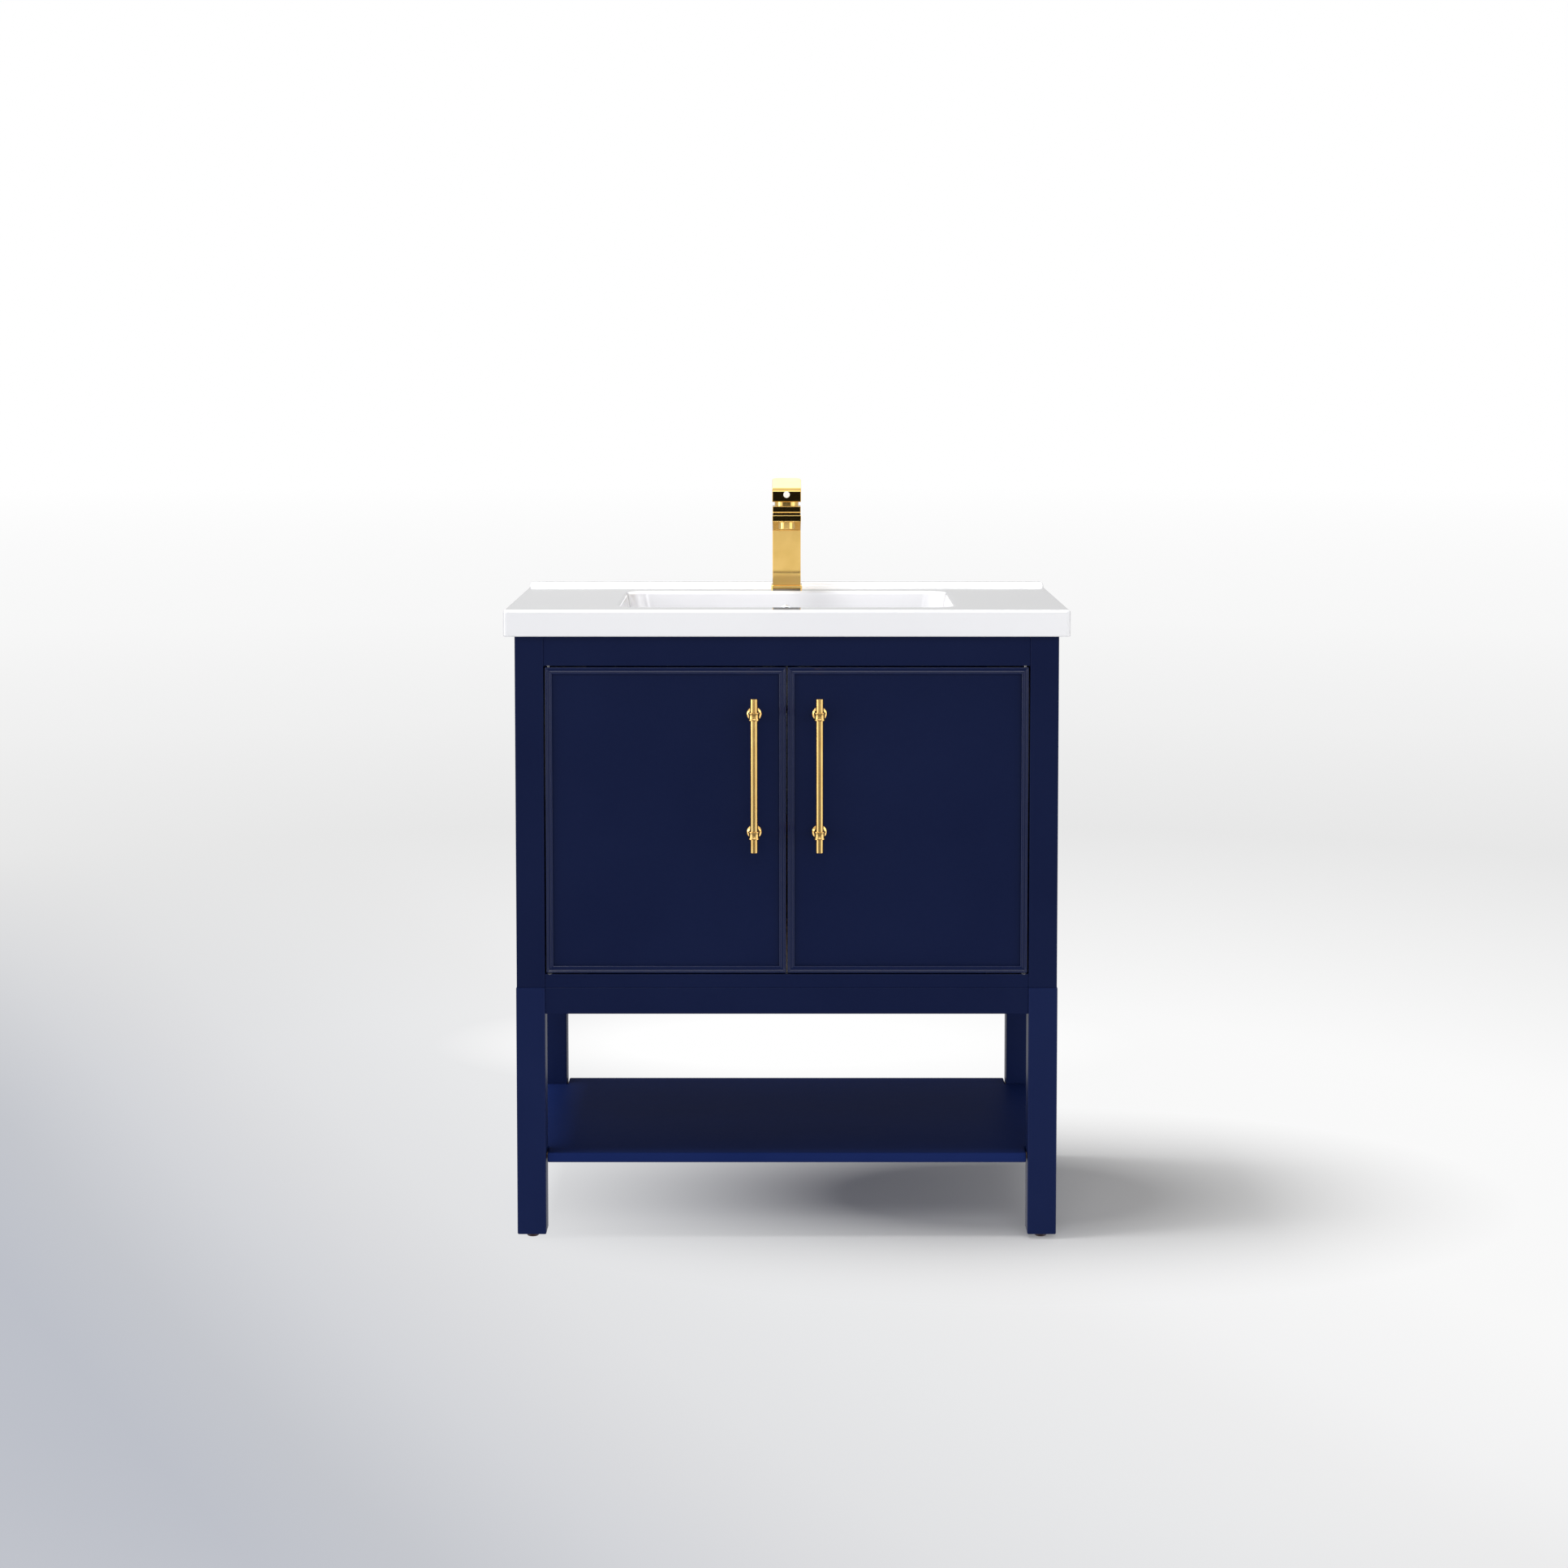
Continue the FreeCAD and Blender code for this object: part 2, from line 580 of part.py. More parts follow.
def make_faucet():
    half = faucet_square / 2
    base = base_square / 2
    plate = box(-base, base, faucet_y - base, faucet_y + base, deck_z, deck_z + 6)
    plate = soften(plate, 3.0, upright)
    save("faucet_base_plate", plate.cut(rod(0, faucet_y, deck_z - 1, 16.0, 8)))

    outline = [(-half, 6), (-half, 86), (-spout_reach, 104), (-spout_reach, 112.5)]
    outline += [(-half, 112.5), (-half, 121.3), (half, 121.3), (half, 6)]
    body = from_side(outline, faucet_square)
    body = body.cut(rod(0, faucet_y, deck_z + 100, 9.0 + running, 30))
    nozzle_y = faucet_y - spout_reach + 20
    body = body.cut(rod(0, nozzle_y, deck_z + 88, 9.0, 21))
    save("faucet_body", body)
    sleeve = [(7.5, 0), (11.2, 0), (11.2, 12), (9.0, 12), (9.0, 16), (7.5, 16)]
    aerator = turned(sleeve, (0, nozzle_y, deck_z + 92.5))
    save("faucet_aerator", aerator.cut(body))

    shank = rod(0, faucet_y, deck_z - 62, 16.0, 68)
    for side in (-1, 1):
        shank = shank.cut(rod(side * 7.5, faucet_y, deck_z - 63, 4.5, 19))
    save("faucet_shank", shank)
    save("faucet_nut", tube(0, faucet_y, deck_z - deck_thick - 12, 24.0, 16.0, 9))
    save("faucet_gasket", tube(0, faucet_y, deck_z - deck_thick - 3, 24.0, 16.0, 3))

    pivot_at = faucet_y + pivot_rear
    neck = rod(0, faucet_y, deck_z + 121.5, 17.5, stem_top - 121.5)
    shaft = rod(0, faucet_y, deck_z + 104, 9.0, 18)
    pivot_z = deck_z + pivot_up
    lug = box(-4, 4, pivot_at - 4, pivot_at + 4, deck_z + 124, pivot_z + 4)
    pin_hole = rod(-10, pivot_at, pivot_z, pin_radius + running, 20, (1, 0, 0))
    save("faucet_stem", join([neck, shaft, lug]).cut(pin_hole))
    pin = rod(-15, pivot_at, pivot_z, pin_radius, 30, (1, 0, 0))
    save("handle_pin", pin)
    low = stem_top + 0.3
    outline = [(-half, low), (-half, 143.3), (-half + 3, 147.8)]
    outline += [(27, 161), (29, 158), (29, 136), (pivot_rear, low)]
    handle = from_side(outline, handle_width)
    slot = box(-4.6, 4.6, pivot_at - 8.5, pivot_at + 8.5, deck_z + 120, pivot_z + 9)
    handle = handle.cut([slot, pin])
    dot_z = deck_z + 138.3
    dot = rod(0, faucet_y - half - 0.4, dot_z, 4.7, 2.4, (0, 1, 0))
    save("faucet_handle", handle.cut(dot))
    save("faucet_indicator", dot)


# ---------------------------------------------------------------- the whole vanity
save("frame_dowels", dowels)
save("stand_screws", stand_screws)
make_legs()
make_feet()
make_stand_rails()
make_shelf()
frame_cut, door_leaves, door_leaf_screws = make_hinges()
make_posts()
make_front_rails(frame_cut)
make_back()
make_sides()
make_floor()
make_catches()
make_doors(door_leaves, door_leaf_screws)
make_sink()
make_overflow()
make_drain()
make_faucet()
print("total depth", total_depth, "front plane", front_y, "faucet", faucet_y, "bowl", bowl_mid_y)
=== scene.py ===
import json
import math

import bmesh
import bpy
from mathutils import Matrix, Vector

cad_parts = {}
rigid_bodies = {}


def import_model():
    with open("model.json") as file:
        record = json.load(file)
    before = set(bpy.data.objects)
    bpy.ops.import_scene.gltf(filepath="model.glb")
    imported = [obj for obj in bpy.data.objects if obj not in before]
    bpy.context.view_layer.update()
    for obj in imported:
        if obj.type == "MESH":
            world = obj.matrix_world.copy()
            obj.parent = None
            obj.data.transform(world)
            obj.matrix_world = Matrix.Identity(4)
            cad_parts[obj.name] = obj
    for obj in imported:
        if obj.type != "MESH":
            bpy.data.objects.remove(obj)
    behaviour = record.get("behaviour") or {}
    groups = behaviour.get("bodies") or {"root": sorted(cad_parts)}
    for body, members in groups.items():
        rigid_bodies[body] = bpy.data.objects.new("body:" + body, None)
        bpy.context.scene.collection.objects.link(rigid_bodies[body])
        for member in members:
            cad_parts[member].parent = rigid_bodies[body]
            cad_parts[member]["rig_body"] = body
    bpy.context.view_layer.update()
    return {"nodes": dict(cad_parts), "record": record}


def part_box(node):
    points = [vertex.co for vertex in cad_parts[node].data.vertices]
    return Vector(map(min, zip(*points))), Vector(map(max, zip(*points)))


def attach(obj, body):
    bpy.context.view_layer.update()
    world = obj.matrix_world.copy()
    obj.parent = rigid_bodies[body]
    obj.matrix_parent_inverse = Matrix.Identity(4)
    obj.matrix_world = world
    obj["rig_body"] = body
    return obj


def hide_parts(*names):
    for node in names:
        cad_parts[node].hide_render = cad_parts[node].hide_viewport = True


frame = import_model()
nodes = frame["nodes"]
sides = (("Left", "left"), ("Right", "right"))
near = 1e-6
creaseAngle = 35.0


# A shader socket that can be added, multiplied and so on; each sum becomes a Math node
class Flow:
    def __init__(self, finish, socket):
        self.finish = finish
        self.socket = socket

    def reckon(self, operation, first, second):
        return self.finish.node("ShaderNodeMath", {"operation": operation}, {0: first, 1: second})

    def __add__(self, other):
        return self.reckon("ADD", self, other)

    def __radd__(self, other):
        return self.reckon("ADD", other, self)

    def __sub__(self, other):
        return self.reckon("SUBTRACT", self, other)

    def __mul__(self, other):
        return self.reckon("MULTIPLY", self, other)

    def __rmul__(self, other):
        return self.reckon("MULTIPLY", other, self)

    def __pow__(self, other):
        return self.reckon("POWER", self, other)


class Finish:
    def __init__(self, name):
        self.material = bpy.data.materials.new(name)
        self.material.use_nodes = True
        self.tree = self.material.node_tree
        self.shader = self.tree.nodes["Principled BSDF"]
        self.place = self.node("ShaderNodeTexCoord", {}, {}, "Object")

    def node(self, kind, settings, inputs, output=0):
        made = self.tree.nodes.new(kind)
        for key, value in settings.items():
            if key == "stops":
                self.setStops(made.color_ramp.elements, value)
            else:
                setattr(made, key, value)
        for key, value in inputs.items():
            self.join(value, made.inputs[key])
        return Flow(self, made.outputs[output])

    def setStops(self, elements, stops):
        while len(elements) < len(stops):
            elements.new(1.0)
        for element, (position, shade) in zip(elements, stops):
            element.position = position
            element.color = (*shade, 1.0) if isinstance(shade, tuple) else (shade, shade, shade, 1.0)

    def join(self, value, socket):
        if isinstance(value, Flow):
            self.tree.links.new(value.socket, socket)
        elif isinstance(value, tuple) and len(value) == 3 and socket.type == "RGBA":
            socket.default_value = (*value, 1.0)
        else:
            socket.default_value = value

    def stretched(self, stretch):
        return self.node("ShaderNodeMapping", {}, {"Vector": self.place, "Scale": stretch})

    def noise(self, scale, detail=2.0, stretch=None, roughness=0.5):
        where = self.place if stretch is None else self.stretched(stretch)
        inputs = {"Vector": where, "Scale": scale, "Detail": detail, "Roughness": roughness}
        return self.node("ShaderNodeTexNoise", {}, inputs)

    def ramp(self, factor, stops):
        return self.node("ShaderNodeValToRGB", {"stops": stops}, {"Fac": factor})

    def rise(self, factor, start, end, least=0.0):
        return self.ramp(factor, ((start, least), (end, 1.0)))

    def mix(self, factor, first, second):
        return self.node("ShaderNodeMix", {"data_type": "RGBA"}, {0: factor, 6: first, 7: second}, 2)

    def bump(self, height, distance, strength=1.0):
        return self.node("ShaderNodeBump", {}, {"Strength": strength, "Distance": distance, "Height": height})

    def surface(self, inputs):
        for name, value in inputs.items():
            self.join(value, self.shader.inputs[name])
        return self.material


# Satin lacquer on smooth board: a faint orange peel, slow waves of the sanding, a little dust
lacquerLook = {
    "shade": (0.0023, 0.0071, 0.0410),
    "light": (0.0031, 0.0087, 0.0465),
    "dust": (0.05, 0.06, 0.10), "dustShare": 0.05, "dustRough": 0.06,
    "cloudScale": 5.0, "waveScale": 34.0, "peelScale": 420.0, "dustScale": 1500.0,
    "unevenRough": 0.10, "waveShare": 6.0, "peelDepth": 0.000035,
    "rough": {"flat": 0.38, "leg": 0.38, "moulded": 0.17, "shelf": 0.46},
    "gloss": {"flat": 0.12, "leg": 0.12, "moulded": 0.36, "shelf": 0.003},
    # Painted light: the leg, moulding and shelf copies of the one navy lacquer are made lighter, standing in
    # for the bounce and reflected light that falls on them
    "lift": {
        "flat": (1.0, 1.0, 1.0), "leg": (1.7, 1.5, 1.4),
        "moulded": (1.1, 1.1, 1.1), "shelf": (3.4, 2.4, 2.05),
    },
}


def makeLacquer(name, look, part):
    finish = Finish(name)
    cloud = finish.noise(look["cloudScale"], 3.0)
    peel = finish.noise(look["peelScale"], 1.5)
    wave = finish.noise(look["waveScale"], 2.0)
    dust = finish.rise(finish.noise(look["dustScale"], 0.0), 0.70, 0.78)
    # Painted light: both tones of the lacquer are lightened by the part's lift
    paintedLifts = look["lift"][part]
    shade = tuple(value * lift for value, lift in zip(look["shade"], paintedLifts))
    light = tuple(value * lift for value, lift in zip(look["light"], paintedLifts))
    colour = finish.mix(finish.rise(cloud, 0.3, 0.7), shade, light)
    uneven = look["unevenRough"] * (cloud - 0.5) + look["unevenRough"] * (peel - 0.5)
    return finish.surface({
        "Base Color": finish.mix(dust * look["dustShare"], colour, look["dust"]),
        "Roughness": look["rough"][part] + uneven + look["dustRough"] * dust,
        "Specular IOR Level": look["gloss"][part],
        "Normal": finish.bump(peel + look["waveShare"] * wave, look["peelDepth"]),
    })


# Glazed ceramic: slow cloud in the white, a faint ripple, a few pinholes
ceramicLook = {
    "body": (0.80, 0.80, 0.815), "thin": (0.76, 0.76, 0.785), "pin": (0.55, 0.54, 0.52),
    "cloudScale": 4.0, "rippleScale": 22.0, "pinScale": 900.0, "pinShare": 0.04,
    "rough": 0.07, "cloudRough": 0.05, "coat": 0.5, "coatCloud": 0.2, "coatRough": 0.03,
    "rippleDepth": 0.00012, "rippleStrength": 0.6,
}


def makeCeramic(name, look):
    finish = Finish(name)
    cloud = finish.noise(look["cloudScale"], 3.0)
    ripple = finish.noise(look["rippleScale"], 2.0)
    pin = finish.rise(finish.noise(look["pinScale"], 0.0), 0.74, 0.80)
    colour = finish.mix(finish.rise(cloud, 0.25, 0.75), look["body"], look["thin"])
    return finish.surface({
        "Base Color": finish.mix(pin * look["pinShare"], colour, look["pin"]),
        "Roughness": look["rough"] + look["cloudRough"] * cloud + look["pinShare"] * pin,
        "Coat Weight": look["coat"] + look["coatCloud"] * cloud,
        "Coat Roughness": look["coatRough"],
        "Normal": finish.bump(ripple, look["rippleDepth"], look["rippleStrength"]),
    })


# Metals: fine lines of the brush or the polish along one direction, and hazy patches
def makeMetal(name, look):
    finish = Finish(name)
    lines = finish.noise(look["lineScale"], 3.0, look["stretch"])
    haze = finish.noise(look["hazeScale"], 3.0)
    spots = finish.rise(finish.noise(look["hazeScale"] * look["spotScale"], 1.0), 0.62, 0.75)
    colour = finish.mix(finish.rise(haze, 0.3, 0.7), look["colour"], look["shade"])
    return finish.surface({
        "Base Color": finish.mix(spots * look["spots"], colour, look["shade"]),
        "Metallic": 1.0,
        "Roughness": look["rough"] + look["lineRough"] * (lines - 0.5) + look["hazeRough"] * (haze - 0.5),
        "Normal": finish.bump(lines, look["lineDepth"]),
    })


metalLooks = {
    "satinGold": {
        "colour": (0.90, 0.600, 0.225), "shade": (0.80, 0.505, 0.170), "rough": 0.15, "lineRough": 0.10,
        "lineScale": 900.0, "stretch": (1.0, 1.0, 0.03), "lineDepth": 0.00003,
        "hazeScale": 60.0, "hazeRough": 0.08, "spots": 0.3, "spotScale": 9.0,
    },
    "polishedGold": {
        "colour": (0.90, 0.60, 0.200), "shade": (0.84, 0.55, 0.165), "rough": 0.045, "lineRough": 0.02,
        "lineScale": 700.0, "stretch": (1.0, 1.0, 0.05), "lineDepth": 0.000002,
        "hazeScale": 40.0, "hazeRough": 0.02, "spots": 0.25, "spotScale": 9.0,
    },
    "brass": {
        "colour": (0.70, 0.48, 0.20), "shade": (0.52, 0.33, 0.13), "rough": 0.34, "lineRough": 0.20,
        "lineScale": 600.0, "stretch": (1.0, 1.0, 6.0), "lineDepth": 0.00006,
        "hazeScale": 50.0, "hazeRough": 0.08, "spots": 0.6, "spotScale": 9.0,
    },
    "chrome": {
        "colour": (0.78, 0.79, 0.81), "shade": (0.66, 0.67, 0.70), "rough": 0.09, "lineRough": 0.06,
        "lineScale": 500.0, "stretch": (1.0, 1.0, 4.0), "lineDepth": 0.000008,
        "hazeScale": 45.0, "hazeRough": 0.08, "spots": 0.3, "spotScale": 9.0,
    },
    "steel": {
        "colour": (0.52, 0.52, 0.53), "shade": (0.36, 0.36, 0.37), "rough": 0.33, "lineRough": 0.24,
        "lineScale": 800.0, "stretch": (0.05, 1.0, 1.0), "lineDepth": 0.00004,
        "hazeScale": 70.0, "hazeRough": 0.08, "spots": 0.6, "spotScale": 9.0,
    },
}


# Birch ply or board: long grain with darker pores
def makeBoard(name, look):
    finish = Finish(name)
    grain = finish.noise(look["grainScale"], 4.0, look["stretch"], 0.6)
    fleck = finish.rise(finish.noise(look["fleckScale"], 1.0, look["fleckStretch"]), 0.60, 0.72)
    patch = finish.noise(look["patchScale"], 2.0)
    colour = finish.mix(finish.rise(grain, 0.32, 0.68), look["colour"], look["late"])
    return finish.surface({
        "Base Color": finish.mix(fleck * look["fleckShare"], colour, look["pore"]),
        "Roughness": look["rough"] + look["grainRough"] * grain + look["patchRough"] * (patch - 0.5),
        "Normal": finish.bump(grain + fleck * look["fleckSink"], look["grainDepth"]),
    })


boardLook = {
    "colour": (0.36, 0.245, 0.140), "late": (0.28, 0.180, 0.098), "pore": (0.15, 0.092, 0.048),
    "grainScale": 55.0, "stretch": (0.05, 1.0, 1.0), "grainDepth": 0.00012,
    "fleckScale": 700.0, "fleckStretch": (0.12, 1.0, 1.0), "fleckShare": 0.35, "fleckSink": -0.6,
    "patchScale": 6.0, "rough": 0.48, "grainRough": 0.18, "patchRough": 0.08,
}


# Plastics and rubber: fine moulded grain
def makeMoulded(name, look):
    finish = Finish(name)
    grain = finish.noise(look["grainScale"], 2.0)
    patch = finish.noise(look["patchScale"], 3.0)
    return finish.surface({
        "Base Color": finish.mix(finish.rise(patch, 0.3, 0.7), look["colour"], look["shade"]),
        "Roughness": look["rough"] + look["grainRough"] * (grain - 0.5) + look["patchRough"] * (patch - 0.5),
        "Normal": finish.bump(grain, look["grainDepth"]),
    })


mouldedLooks = {
    "whitePlastic": {
        "colour": (0.78, 0.78, 0.76), "shade": (0.70, 0.70, 0.67), "rough": 0.38, "grainRough": 0.16,
        "grainScale": 1300.0, "grainDepth": 0.00003, "patchScale": 45.0, "patchRough": 0.08,
    },
    "seal": {
        "colour": (0.020, 0.020, 0.021), "shade": (0.032, 0.032, 0.033), "rough": 0.62, "grainRough": 0.16,
        "grainScale": 1100.0, "grainDepth": 0.00006, "patchScale": 45.0, "patchRough": 0.08,
    },
    "darkNylon": {
        "colour": (0.018, 0.020, 0.030), "shade": (0.012, 0.014, 0.022), "rough": 0.45, "grainRough": 0.16,
        "grainScale": 1300.0, "grainDepth": 0.00003, "patchScale": 45.0, "patchRough": 0.08,
    },
    "glide": {
        "colour": (0.034, 0.010, 0.012), "shade": (0.022, 0.008, 0.010), "rough": 0.42, "grainRough": 0.16,
        "grainScale": 1200.0, "grainDepth": 0.00004, "patchScale": 45.0, "patchRough": 0.08,
    },
    "dot": {
        "colour": (0.84, 0.84, 0.83), "shade": (0.78, 0.78, 0.77), "rough": 0.22, "grainRough": 0.16,
        "grainScale": 1500.0, "grainDepth": 0.00001, "patchScale": 45.0, "patchRough": 0.08,
    },
}

finishes = {
    "lacquer": makeLacquer("lacquerNavy", lacquerLook, "flat"),
    # The leg, moulding and shelf lacquers carry painted light in their lighter colour
    "lacquerLeg": makeLacquer("lacquerLeg", lacquerLook, "leg"),
    "lacquerMoulding": makeLacquer("lacquerMoulding", lacquerLook, "moulded"),
    "lacquerShelf": makeLacquer("lacquerShelf", lacquerLook, "shelf"),
    "board": makeBoard("boardBirch", boardLook),
    "ceramic": makeCeramic("ceramicWhite", ceramicLook),
    "satin_gold": makeMetal("satinGold", metalLooks["satinGold"]),
    "polished_gold": makeMetal("polishedGold", metalLooks["polishedGold"]),
    "brass": makeMetal("brass", metalLooks["brass"]),
    "chrome": makeMetal("chrome", metalLooks["chrome"]),
    "steel": makeMetal("steel", metalLooks["steel"]),
    "seal": makeMoulded("seal", mouldedLooks["seal"]),
    "white_plastic": makeMoulded("whitePlastic", mouldedLooks["whitePlastic"]),
    "dot": makeMoulded("dotWhite", mouldedLooks["dot"]),
    "glide": makeMoulded("glide", mouldedLooks["glide"]),
    "darkNylon": makeMoulded("darkNylon", mouldedLooks["darkNylon"]),
}
print("finishes made:", len(finishes))


# Every CAD node takes its slot's finish; the washers at the doors' corners are dark nylon
def dressFrame():
    slotOf = {row["node"]: row["material_slot"] for row in frame["record"]["subparts"]}
    for name, piece in nodes.items():
        piece.data.materials.clear()
        piece.data.materials.append(finishes["darkNylon" if name == "hinge_washers" else slotOf[name]])
    return slotOf


slotOf = dressFrame()
bodyOf = {name: piece["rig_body"] for name, piece in nodes.items()}
print("frame dressed:", len(slotOf))


# Turns a bmesh into a piece that stands for CAD nodes, with their body and finish
def finishPiece(shape, name, stands, crease=creaseAngle, finish=None):
    mesh = bpy.data.meshes.new(name)
    shape.to_mesh(mesh)
    shape.free()
    mesh.shade_smooth()
    mesh.set_sharp_from_angle(angle=math.radians(crease))
    mesh.materials.append(finishes[finish or slotOf[stands[0]]])
    piece = bpy.data.objects.new(name, mesh)
    bpy.context.scene.collection.objects.link(piece)
    even = piece.modifiers.new("evenShading", "WEIGHTED_NORMAL")
    even.keep_sharp = True
    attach(piece, bodyOf[stands[0]])
    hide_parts(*stands)
    return piece


def bevelEdges(shape, edges, size, segments):
    return bmesh.ops.bevel(
        shape, geom=edges, offset=size, offset_type="OFFSET", segments=segments, profile=0.5,
        affect="EDGES", material=-1, clamp_overlap=True,
    )


def block(low, high):
    shape = bmesh.new()
    bmesh.ops.create_cube(shape, size=1.0)
    bmesh.ops.scale(shape, vec=high - low, verts=shape.verts)
    bmesh.ops.translate(shape, vec=(low + high) / 2, verts=shape.verts)
    return shape


def uprightEdges(shape):
    found = []
    for edge in shape.edges:
        one, two = (vert.co for vert in edge.verts)
        if abs(one.x - two.x) < near and abs(one.y - two.y) < near:
            found.append(edge)
    return found


def edgesAtHeight(shape, z):
    return [edge for edge in shape.edges if all(abs(vert.co.z - z) < near for vert in edge.verts)]


# Cuts copies of CAD nodes out of a piece, so that screws, leaves and dowels keep their seats
def cutSeats(piece, cutters):
    for name in cutters:
        shape = bmesh.new()
        shape.from_mesh(nodes[name].data)
        bmesh.ops.remove_doubles(shape, verts=shape.verts, dist=near)
        mesh = bpy.data.meshes.new("seatCutter")
        shape.to_mesh(mesh)
        shape.free()
        applyCut(piece, mesh, "DIFFERENCE")


def applyCut(piece, cutterMesh, operation):
    cutter = bpy.data.objects.new("seatCutter", cutterMesh)
    bpy.context.scene.collection.objects.link(cutter)
    cut = piece.modifiers.new("seat", "BOOLEAN")
    cut.operation = operation
    cut.solver = "EXACT"
    cut.object = cutter
    piece.modifiers.move(len(piece.modifiers) - 1, 0)
    even = piece.modifiers.get("evenShading")
    even.show_viewport = False
    evaluated = piece.evaluated_get(bpy.context.evaluated_depsgraph_get())
    made = bpy.data.meshes.new_from_object(evaluated)
    piece.modifiers.remove(cut)
    even.show_viewport = True
    made.name = piece.name
    made.set_sharp_from_angle(angle=math.radians(creaseAngle))
    piece.data = made
    bpy.data.objects.remove(cutter)


# Posts and legs: square timber with softened corners
timberLook = {"legCorner": 0.0020, "postCorner": 0.0012, "legFoot": 0.0022, "legTop": 0.0009, "postEnd": 0.0004}


def squareTimber(name, node, corner, foot, top, finish=None):
    low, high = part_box(node)
    shape = block(low, high)
    bevelEdges(shape, uprightEdges(shape), corner, 4)
    bevelEdges(shape, edgesAtHeight(shape, low.z), foot, 3)
    bevelEdges(shape, edgesAtHeight(shape, high.z), top, 2)
    finishPiece(shape, name, [node], finish=finish)


for label, side in sides:
    for place in ("Front", "Back"):
        ending = place.lower() + "_" + side
        leg = timberLook["legCorner"], timberLook["legFoot"], timberLook["legTop"]
        post = timberLook["postCorner"], timberLook["postEnd"], timberLook["postEnd"]
        squareTimber("leg" + place + label, "leg_" + ending, *leg, "lacquerLeg")
        squareTimber("post" + place + label, "post_" + ending, *post)
print("legs and posts made")


# Rails, side panels and the catch block: softened arrises, with seats for what passes through them
railLook = {"arris": 0.0007, "panelArris": 0.0005}
railSeats = {
    "front_top_rail": ["hinge_frame_leaves", "hinge_frame_screws"],
    "front_bottom_rail": ["hinge_frame_leaves", "hinge_frame_screws", "stand_screws"],
    "stand_front_rail": ["stand_screws"],
    "stand_back_rail": ["stand_screws"],
    "back_bottom_rail": ["stand_screws"],
}


def railName(node):
    words = node.split("_")
    return words[0] + "".join(word.capitalize() for word in words[1:])


def makeRail(node, arris):
    low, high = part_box(node)
    shape = block(low, high)
    bevelEdges(shape, shape.edges[:], arris, 2)
    piece = finishPiece(shape, railName(node), [node])
    cutSeats(piece, railSeats.get(node, []))
    return piece


rails = (
    "front_top_rail", "front_bottom_rail", "stand_front_rail", "stand_back_rail",
    "stand_rail_left", "stand_rail_right", "back_bottom_rail",
)
for node in rails:
    makeRail(node, railLook["arris"])
for node in ("side_panel_left", "side_panel_right", "catch_block"):
    makeRail(node, railLook["panelArris"])
print("rails and panels made")


# The shelf is notched round the legs
shelfLook = {"arris": 0.0020, "clearance": 0.0015}


def makeShelf(look):
    low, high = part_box("lower_shelf")
    frontLow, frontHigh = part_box("leg_front_right")
    backLow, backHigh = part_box("leg_back_right")
    inner = frontLow.x - look["clearance"]
    frontNotch = frontHigh.y + look["clearance"]
    backNotch = backLow.y - look["clearance"]
    corners = [(inner, low.y), (inner, frontNotch), (high.x, frontNotch),
               (high.x, backNotch), (inner, backNotch), (inner, high.y)]
    corners += [(-x, y) for x, y in reversed(corners)]
    shape = bmesh.new()
    outline = shape.faces.new([shape.verts.new((x, y, low.z)) for x, y in corners])
    raised = bmesh.ops.extrude_face_region(shape, geom=[outline])["geom"]
    lifted = [item for item in raised if isinstance(item, bmesh.types.BMVert)]
    bmesh.ops.translate(shape, vec=(0.0, 0.0, high.z - low.z), verts=lifted)
    bmesh.ops.recalc_face_normals(shape, faces=shape.faces)
    bevelEdges(shape, shape.edges[:], look["arris"], 3)
    # The shelf's lacquer is a matt, lighter copy: painted light in place of its reflection
    finishPiece(shape, "lowerShelf", ["lower_shelf"], finish="lacquerShelf")


makeShelf(shelfLook)
print("shelf made")


# Turned pieces: an outline of (radius, height) pairs spun round an axis
def turnedShape(outline, steps=48, closed=True):
    shape = bmesh.new()
    verts = [shape.verts.new((radius, 0.0, height)) for radius, height in outline]
    edges = [shape.edges.new(pair) for pair in zip(verts, verts[1:])]
    if closed:
        edges.append(shape.edges.new((verts[-1], verts[0])))
    bmesh.ops.spin(
        shape, geom=verts + edges, cent=(0.0, 0.0, 0.0), axis=(0.0, 0.0, 1.0),
        angle=2.0 * math.pi, steps=steps, use_merge=True,
    )
    bmesh.ops.remove_doubles(shape, verts=shape.verts, dist=near)
    bmesh.ops.recalc_face_normals(shape, faces=shape.faces)
    return shape


def millimetres(outline):
    return [(radius / 1000.0, height / 1000.0) for radius, height in outline]


toFront = Matrix.Rotation(math.radians(90.0), 3, "X")


def placeShape(shape, centre, turn=None):
    if turn is not None:
        bmesh.ops.rotate(shape, cent=(0.0, 0.0, 0.0), matrix=turn, verts=shape.verts)
    bmesh.ops.translate(shape, vec=centre, verts=shape.verts)


def addShape(shape, other):
    mesh = bpy.data.meshes.new("part")
    other.to_mesh(mesh)
    other.free()
    shape.from_mesh(mesh)
    bpy.data.meshes.remove(mesh)


# Doors: the slab, and a moulding with two beads and a cove, mitred at the corners
mouldingLook = {
    "mitre": 0.00030, "sink": 0.00025, "sinkFrom": 0.002, "crease": 50.0,
    "profile": [
        (0.00, 0.00), (0.00, 3.10), (0.12, 3.70), (0.50, 4.25), (1.15, 4.50), (1.80, 4.33), (2.25, 3.85),
        (2.50, 3.35), (3.10, 2.85), (4.10, 2.48), (5.20, 2.50), (6.20, 2.85), (6.85, 3.35), (7.15, 3.75),
        (7.70, 4.02), (8.35, 4.02), (8.95, 3.75), (9.32, 3.25), (9.50, 2.60), (9.50, 0.00),
    ],
}


